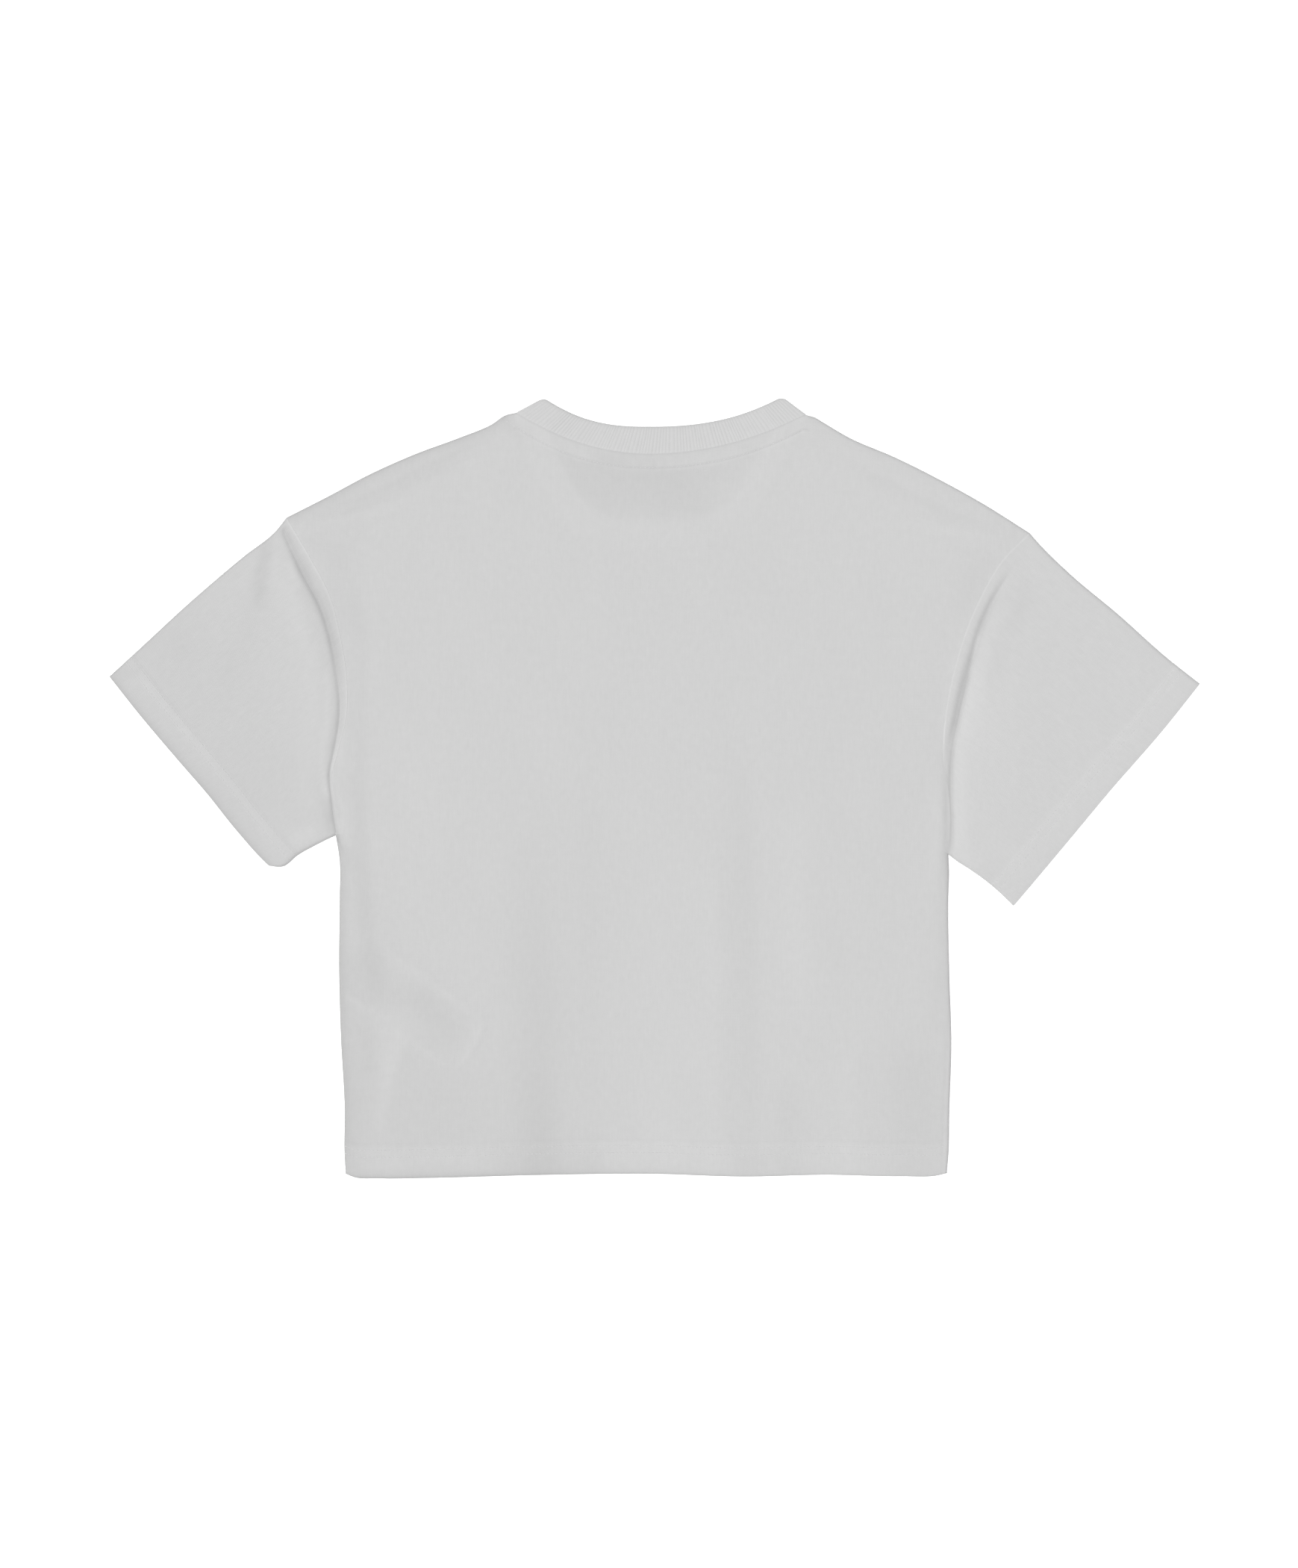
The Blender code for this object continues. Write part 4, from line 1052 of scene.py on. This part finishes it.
# %% Plan and faces of a sleeve
SEAM_RIDGE = 0.16  # how far the sleeve's edge stands up along the seam
RIDGE_AT, RIDGE_WIDTH = 0.7, 0.9
SEAM_END = 4.0  # the height at which the seam goes under, at the underarm
SEAM_START = 20  # how far above that it shows in full


def sleeve_plans(sections, cuff, side, out):
    """The outer face in the plane, as a Coons patch of armhole, cuff and both folds, and the
    inner one, a wall further in at the folds. Returns them with the sleeve's mean width."""
    armhole = moved_out(side_line(ARMHOLES, side, armhole_lines), out * SEAM_LAP)[::-1]
    over, under = (side_line(sections, name, sleeve_lines) for name in ("over", "under"))
    over += (armhole[0] - over[0]) * (1 - sleeve_lines[:, None])
    under += (armhole[-1] - under[0]) * (1 - sleeve_lines[:, None])
    outer = patch(armhole, curve(cuff, round_lines), over, under, round_lines, sleeve_lines)
    width = np.linalg.norm(over - under, axis=1)
    inset = WALL / width[:, None]
    share = inset + (1 - 2 * inset) * round_lines[None]
    inner = np.stack([
        np.stack([np.interp(at, round_lines, line[:, axis]) for at, line in zip(share, outer)])
        for axis in range(2)
    ], axis=-1)
    return outer, inner, width.mean()


def from_folds(plan):
    """Distance from the nearer of a sleeve's two folds."""
    return np.minimum(plan_distance(plan, plan[:, :1]), plan_distance(plan, plan[:, -1:]))


def seam_shown(plan):
    """1 where the armhole seam is on top, falling to 0 where it goes under."""
    return smooth_step((plan[..., 1] - SEAM_END) / SEAM_START)


def sleeve_faces(plan, outer, is_inner):
    """The upper and the lower face over a plan: the height and the table, each less the wall
    on the inner face, drawn together to half the height by a quarter ellipse at the folds."""
    from_cuff, from_seam = plan_distance(plan, outer[-1:]), plan_distance(plan, outer[:1])
    hem = TURN_UP * doubled(from_cuff, CUFF_DEPTH)
    wall = is_inner * (WALL + hem)
    ridge = SEAM_RIDGE * groove(from_seam - RIDGE_AT, RIDGE_WIDTH) * seam_shown(plan)
    sewn = row_relief(from_cuff, CUFF_ROWS)
    height = lay_height(plan[..., 0], plan[..., 1]) + 2 * hem + sewn + ridge
    dent = 0 if is_inner else lift(plan[..., 0], plan[..., 1]) - sewn
    full = rounding(from_folds(plan))
    middle = height / 2
    top = raised(plan, middle + (height - wall - middle) * full)
    bottom = raised(plan, middle - (middle - wall - dent) * full)
    return top, bottom


# %% Sleeves
SEAM_GLOW = {-1: 0.10, 1: 0.065}  # painted highlight on the ridge at the left and the right armhole
SEAM_GLOW_WIDTH = 1.0
ROW_GLOW, ROW_GLOW_WIDTH = 0.012, 1.2  # painted light along a row of stitches on a cuff
FOLD_SHARE = 2.5  # how much faster the edge's painted shade fades at a fold than at the cuff


def sleeve_painted_shading(plan, out):
    """Painted light and shade of the upper and the lower face: 1, plus that of the folds, the
    layers, the edges, the seam's ridge and the rows of stitches."""
    from_cuff, from_seam = plan_distance(plan, plan[-1:]), plan_distance(plan, plan[:1])
    cuff_share = doubled(from_cuff, CUFF_DEPTH, HEM_LINE)
    upper = painted_shading_of(plan[..., 0], plan[..., 1], SLEEVE_PAINTED_SHADING, cuff_share,
                    np.minimum(FOLD_SHARE * from_folds(plan), from_cuff))
    upper += SEAM_GLOW[out] * groove(from_seam, SEAM_GLOW_WIDTH) * seam_shown(plan)
    upper += ROW_GLOW * sum(groove(from_cuff - row, ROW_GLOW_WIDTH) for row in CUFF_ROWS)
    lower = (1 + HEM_LIGHT * cuff_share + LIFT_SHADE * lift(plan[..., 0], plan[..., 1])
             + SEAM_GLOW[1] * groove(from_seam, SEAM_GLOW_WIDTH))
    return upper, lower


def once_round(upper, lower):
    """Rows once round the tube: over the top, and back underneath."""
    return np.concatenate([upper, lower[:, -2:0:-1]], axis=1)


def closed_wall(outside, inside, out):
    """The outer rows out to the cuff and the inner ones back, as loops across the wall. On
    the right sleeve they go the other way round, so that the faces look outwards there too."""
    joined = np.concatenate([outside, inside[::-1]], axis=0).swapaxes(0, 1)
    return joined[::-1] if out > 0 else joined


def sleeve_object(name, sections, cuff, side, out):
    """A flattened tube from the armhole to the cuff. Returns it with its two outer faces."""
    outer, inner, width = sleeve_plans(sections, cuff, side, out)
    top, bottom = sleeve_faces(outer, outer, False)
    inside = once_round(*sleeve_faces(inner, outer, True))
    across, down = round_lines[None] * width, running_length(outer.mean(axis=1))[:, None]
    knit = np.stack(np.broadcast_arrays(across, down), axis=-1)
    knit, sleeve_shading = once_round(knit, knit), once_round(*sleeve_painted_shading(outer, out))
    obj = loop_object(name, closed_wall(once_round(top, bottom), inside, out),
                      closed_wall(knit, knit, out), closed_wall(sleeve_shading, sleeve_shading, out))
    return obj, top, bottom


sleeve_left, left_top, left_bottom = sleeve_object(
    "sleeve_cloth_left", SLEEVE_LEFT, CUFF_LEFT, "left", -1)
sleeve_right, right_top, right_bottom = sleeve_object(
    "sleeve_cloth_right", SLEEVE_RIGHT, CUFF_RIGHT, "right", 1)
print("sleeves:", left_top.shape[:2], "points a layer")

# %% [markdown]
# ## The neckband
#
# The band is a strip of 1 x 1 rib, folded in half lengthways and sewn on as a ring. Rib has
# columns that stand up and columns that sink, 2.4 mm from one to the next here. Laid flat,
# the ring folds at both ends of the neck: its back half is on top and its front half lies
# under the shirt. The ribs are real relief, because the light catches each one.

# %% Loops of the neckband
RIB_COUNT, FRONT_RIB_COUNT = 86, 104
RIB_STEPS = 8  # columns of points for each rib
RIB_HEIGHT = 0.27
RIB_POWER = 0.8  # below 1, the ribs' crowns are broad and their valleys narrow
RIB_FADE = 1.5  # how far the ribs fade towards the seam and the rim
PITCH_WAVES = ((0.22, 41.0, 0.0), (0.15, 97.0, 1.0))  # how uneven the ribs' pitch is
BAND_WIDTH = 18.5
BAND_ROUND = 1.6  # reach of the rounding at the seam and at the rim
EAR_WAY = (1.0, 0.35)
EAR_BULGE = 0.6
EAR_GAP = 0.04  # size of the inner half circle, as a share of the outer one
EAR_ANGLES = np.linspace(0, np.pi, 9)[1:-1]
BAND_LINES = np.array([0, 0.012, 0.04, 0.09, 0.16, 0.28, 0.4, 0.52, 0.64, 0.76, 0.86, 0.93,
                       0.97, 0.99, 1.0])
BACK_WAY = BAND_LINES[-2:0:-1]
BAND_LOOP = np.concatenate([BAND_LINES, BACK_WAY])  # out along the face, and back inside
band_from_edge = np.minimum(BAND_LINES, 1 - BAND_LINES) * BAND_WIDTH
band_full = rounding(band_from_edge, BAND_ROUND)


def ribs_along(count, shares):
    """The rib's wave, 0 in its valleys and 1 on its crowns, of slightly uneven pitch."""
    uneven = sum(size * np.sin(shares * turn + start) for size, turn, start in PITCH_WAVES)
    return np.abs(np.sin(np.pi * (shares * count + uneven))) ** RIB_POWER


def band_sections(seam, rim, face, inner, wave, sign):
    """Loops across the band: out along its face from the seam to the rim, and back inside.
    The face is a half ellipse over the two edges, with the ribs fading towards both."""
    plan = seam[:, None] + BAND_LINES[None, :, None] * (rim - seam)[:, None]
    middle = ((face + inner) / 2)[:, None]
    ribs = sign * RIB_HEIGHT * (wave[:, None] - 1) * smooth_step(band_from_edge / RIB_FADE)[None]
    outside = raised(plan, middle + (face[:, None] - middle) * band_full[None] + ribs)
    inside_plan = seam[:, None] + BACK_WAY[None, :, None] * (rim - seam)[:, None]
    inside_full = band_full[None, -2:0:-1]
    inside = raised(inside_plan, middle - (middle - inner[:, None]) * inside_full)
    return np.concatenate([outside, inside], axis=1)


def ear_sections(seam, rim, side, top):
    """Loops round the band's fold at an end of the neck: half a turn from the upper face to
    the lower one, the outer points on a half circle and the inner ones on a small one."""
    way = np.array([side * EAR_WAY[0], EAR_WAY[1]])
    reach = np.concatenate([band_full, np.full(len(BACK_WAY), EAR_GAP)])
    plan = seam[None] + BAND_LOOP[:, None] * (rim - seam)[None]
    return np.array([
        raised(plan + np.sin(angle) * EAR_BULGE * reach[:, None] * way[None],
               top / 2 + np.cos(angle) * top / 2 * reach)
        for angle in EAR_ANGLES
    ])


# %% Neckband
RIB_WALL = 1.2
RIB_RISE = 0.3
BAND_LAP = 0.3
BAND_LENGTH = 458.0
RIB_UNEVEN = 0.0025  # how much one rib's tone differs from the next
# painted light on the band's lip beside the seam
LIP_LIGHT, LIP_AT, LIP_WIDTH = 0.012, 1.3, 0.9
RIM_SHADE, RIM_REACH = 3, 0.8
BAND_SEAM_SHADE, BAND_SEAM_WIDTH = 2, 0.4
BAND_EDGE_SHADE = -0.06  # painted shade where the weight of shade at the seam or at the rim is 1

back_shares = np.linspace(0, 1, RIB_COUNT * RIB_STEPS + 1)
front_shares = np.linspace(0, 1, FRONT_RIB_COUNT * RIB_STEPS + 1)
band_seam = moved_out(bow_points(BACK_SEAM, back_shares), -BAND_LAP)
band_rim = rim_points(back_shares)
under_seam = moved_out(bow_points(FRONT_SEAM, front_shares), -BAND_LAP)
under_rim = bow_points(FRONT_RIM, front_shares)
for lower, upper in ((under_seam, band_seam), (under_rim, band_rim)):
    lower[0], lower[-1] = upper[0], upper[-1]
band_face = lay_height(band_seam[:, 0], band_seam[:, 1]) + RIB_RISE
flat = np.zeros(len(front_shares))
band_loops = np.concatenate([
    band_sections(band_seam, band_rim, band_face, band_face - RIB_WALL,
                  ribs_along(RIB_COUNT, back_shares), 1),
    ear_sections(band_seam[-1], band_rim[-1], 1, band_face[-1]),
    band_sections(under_seam[::-1], under_rim[::-1], flat, flat + RIB_WALL,
                  ribs_along(FRONT_RIB_COUNT, front_shares), -1),
    ear_sections(band_seam[0], band_rim[0], -1, band_face[0])[::-1],
])[::-1]
loop_way = np.linspace(0, 1, len(band_loops))[:, None] * np.ones(band_loops.shape[1])
loop_share = np.ones((len(band_loops), 1)) * BAND_LOOP
band_knit = np.stack([loop_way * BAND_LENGTH, loop_share * BAND_WIDTH], axis=-1)
rib_tone = np.repeat(rng.normal(0, RIB_UNEVEN, len(band_loops) // RIB_STEPS), RIB_STEPS)
from_seam, from_rim = loop_share * BAND_WIDTH, (1 - loop_share) * BAND_WIDTH
# painted shade at the rim and along the seam; the ribs' own tone differs at random
shade = (RIM_SHADE * np.exp(-from_rim / RIM_REACH)
         + BAND_SEAM_SHADE * groove(from_seam, BAND_SEAM_WIDTH))
band_tone_and_shade = (1 + rib_tone[:, None] + LIP_LIGHT * groove(from_seam - LIP_AT, LIP_WIDTH)
             + BAND_EDGE_SHADE * shade)
neckband = loop_object("neckband_rib", band_loops, band_knit, band_tone_and_shade)
print("neckband:", len(band_loops), "loops of", band_loops.shape[1])

# %% [markdown]
# ## The neck tape
#
# Inside the back neck a straight tape covers the seam, so that it doesn't rub. From outside
# only its stitches and a slight step show, which the back has already. From underneath it can
# be seen through the neck opening, so it is made as a thin strip that follows the seam.

# %% Neck tape
TAPE_WALL, TAPE_EDGE_WALL = 0.35, 0.02
TAPE_SPACE = 0.12  # between the tape and the back
TAPE_DEPTH = 9.5
TAPE_ROUND = 0.8
TAPE_END = 0.012  # share of the seam that it leaves free at each end
TAPE_SPREAD = 1.02  # how much wider its lower edge is than its upper one
TAPE_BELOW = 0.6  # how far its lower edge lies below its stitches
TAPE_TOP = 0.97  # the share of the way up to the seam that it reaches
TAPE_LIGHT = 1.02  # its tone, a little above the cloth's
TAPE_POINTS = (160, 8)  # along and across

tape_shares = np.linspace(TAPE_END, 1 - TAPE_END, TAPE_POINTS[0])
tape_across = np.linspace(0, 1, TAPE_POINTS[1])
tape_top = bow_points(BACK_SEAM, tape_shares)
tape_x = tape_top[:, 0] * TAPE_SPREAD
tape_bottom = np.stack([tape_x, bow_height(TAPE_STITCH, tape_x) - TAPE_BELOW], axis=1)
tape_way = tape_across[:, None, None] * (tape_top - tape_bottom)[None] * TAPE_TOP
tape_plan = tape_bottom[None] + tape_way
tape_level = lay_height(tape_plan[..., 0], tape_plan[..., 1]) - WALL - TAPE_SPACE
tape_edge = np.minimum(tape_across, 1 - tape_across)[:, None] * TAPE_DEPTH
tape_under = tape_level - TAPE_WALL * rounding(tape_edge, TAPE_ROUND) - TAPE_EDGE_WALL
tape = panel_object("neck_tape", raised(tape_plan, tape_level), raised(tape_plan, tape_under),
                    tape_plan, np.full(tape_plan.shape[:2], TAPE_LIGHT))
print("tape:", tape_plan.shape[:2], "points a face")

# %% [markdown]
# ## Stitches
#
# Each stitch is a short bead of thread that dives into the cloth at both ends, where the
# needle's hole is painted as shade and the bead's crown as light. One bead is a small tube of
# six sides, bent into an arc. It is copied along a row as an array, so a whole row is a single
# mesh with few faces for each stitch. The rows are found on the cloth's own surface: on each
# line of the grid, the point that lies a set distance from the edge.

# %% One stitch
STITCH_PITCH = 2.67
STITCH_LENGTH = 2.1
STITCH_RADIUS = 0.24
# painted shade at a bead's ends, painted light on its crown
HOLE_SHADE, CROWN_LIGHT = 0.80, 1.06
BEAD_RINGS, BEAD_SIDES = 5, 6
BEAD_END = 0.35  # a bead's radius at its ends, as a share of its largest
BEAD_RISE, BEAD_SINK = 0.34, 0.24


def bead():
    """A bead along X: rings of a circle whose radius, height and tone follow a half cosine,
    closed at both ends; the tone is painted shade at the ends and painted light on the crown.
    Returns its points, its quads and its tones."""
    along = np.linspace(-0.5, 0.5, BEAD_RINGS)[:, None] * np.ones(BEAD_SIDES)
    around = np.linspace(0, 2 * np.pi, BEAD_SIDES, endpoint=False)[None]
    arch = np.cos(along * np.pi).clip(0)
    radius = STITCH_RADIUS * (BEAD_END + (1 - BEAD_END) * np.sqrt(arch))
    level = BEAD_RISE * arch - BEAD_SINK
    points = np.stack([along * STITCH_LENGTH, radius * np.cos(around),
                       radius * np.sin(around) + level], axis=-1)
    index = np.arange(BEAD_RINGS * BEAD_SIDES).reshape(BEAD_RINGS, BEAD_SIDES)
    start, end = index[:-1], index[1:]
    sides = np.stack([start, end, np.roll(end, -1, 1), np.roll(start, -1, 1)], axis=-1)
    first, last = index[0], index[-1, ::-1]
    caps = [ring[[0, i, i + 1, i + 2]] for ring in (first, last) for i in (1, 3)]
    tone = HOLE_SHADE + (CROWN_LIGHT - HOLE_SHADE) * arch
    return points.reshape(-1, 3), np.concatenate([sides.reshape(-1, 4), caps]), tone.ravel()


print(f"a bead {STITCH_LENGTH} mm long, every {STITCH_PITCH} mm")

# %% Rows of stitches
ROW_MARGIN = 2.0  # left free at both ends of a row
STITCH_UNEVEN = 0.07
LOOK_AHEAD = 0.8  # how far ahead a stitch takes its direction from


def line_at(points, level, value):
    """On each column of a grid, the point where the level first passes the value."""
    after = (level > value).argmax(axis=0)
    column = np.arange(points.shape[1])
    low, high = level[after - 1, column], level[after, column]
    share = ((value - low) / (high - low))[:, None]
    return points[after - 1, column] + share * (points[after, column] - points[after - 1, column])


def stitch_row(line, under):
    """Beads a pitch apart along a line, each turned along it and, on the underside, upside
    down. Returns the points of all beads and their places along the row."""
    points = bead()[0] * (np.array([1, -1, -1]) if under else 1)
    along = running_length(line)
    at = np.arange(ROW_MARGIN, along[-1] - ROW_MARGIN, STITCH_PITCH)
    at = at + rng.normal(0, STITCH_UNEVEN, len(at))
    place, ahead = (
        np.stack([np.interp(at + step, along, line[:, axis]) for axis in range(3)], axis=1)
        for step in (0, LOOK_AHEAD)
    )
    way = ahead - place
    side = np.stack([-way[:, 1], way[:, 0], np.zeros(len(way))], axis=1)
    axes = np.stack([way, side, np.cross(way, side)], axis=1)
    axes /= np.linalg.norm(axes, axis=2)[..., None]
    knit_place = np.stack([np.ones_like(points[:, 1]) * at[:, None] + points[:, 0],
                           np.ones_like(at)[:, None] * points[:, 1]], axis=-1)
    return place[:, None] + np.einsum("pk,skc->spc", points, axes), knit_place


def stitch_rows(name, lines, under=False):
    """One mesh of the beads along all the lines."""
    rows, places = zip(*(stitch_row(line, under) for line in lines))
    points, places = np.concatenate(rows), np.concatenate(places)
    _, quads, tone = bead()
    offset = np.arange(len(points))[:, None, None] * points.shape[1]
    obj = mesh_object(name, points.reshape(-1, 3), (quads[None] + offset).reshape(-1, 4),
                      places.reshape(-1, 2), np.tile(tone, len(points)))
    obj.data.materials.append(thread)
    print(name, len(points), "stitches")
    return obj


# %% Rows on the hems, the cuffs and the neck
TAPE_ROW_MARGIN, TAPE_ROW_POINTS = 3, 240


def edge_rows(name, grid, distances, under=False):
    """Rows of stitches at set distances from the first line of a grid."""
    level = plan_distance(grid, grid[:1])
    return stitch_rows(name, [line_at(grid, level, distance) for distance in distances], under)


hem_thread = edge_rows("hem_stitches_back", back_outer, HEM_ROWS)
front_hem_thread = edge_rows("hem_stitches_front", front_outer, HEM_ROWS, True)
left_threads = [edge_rows("cuff_stitches_left_top", left_top[::-1], CUFF_ROWS),
                edge_rows("cuff_stitches_left_under", left_bottom[::-1], CUFF_ROWS, True)]
right_threads = [edge_rows("cuff_stitches_right_top", right_top[::-1], CUFF_ROWS),
                 edge_rows("cuff_stitches_right_under", right_bottom[::-1], CUFF_ROWS, True)]
stitch_x = np.linspace(TAPE_STITCH.left_x + TAPE_ROW_MARGIN,
                       TAPE_STITCH.right_x - TAPE_ROW_MARGIN, TAPE_ROW_POINTS)
stitch_y = bow_height(TAPE_STITCH, stitch_x)
stitch_z = (lay_height(stitch_x, stitch_y)
            + tape_relief(stitch_x, stitch_y, np.zeros(len(stitch_x))))
tape_thread = stitch_rows("neck_tape_stitches", [np.stack([stitch_x, stitch_y, stitch_z], 1)])

# %% [markdown]
# ## The pieces on the garment's body
#
# Each piece gets its material, rides on the garment's one body and stands for its solid,
# which is hidden.

# %% Materials and the body
for piece, material, slot in (
    (back, jersey, "jersey"), (front, jersey, "jersey"), (sleeve_left, jersey, "jersey"),
    (sleeve_right, jersey, "jersey"), (neckband, rib, "rib"), (tape, jersey, "jersey"),
):
    piece.data.materials.append(material)

threads = [hem_thread, front_hem_thread, tape_thread, *left_threads, *right_threads]
for piece in (back, front, sleeve_left, sleeve_right, neckband, tape, *threads):
    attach(piece, "root")
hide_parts("back_panel")
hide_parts("front_panel")
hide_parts("sleeve_left")
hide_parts("sleeve_right")
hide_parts("neckband")
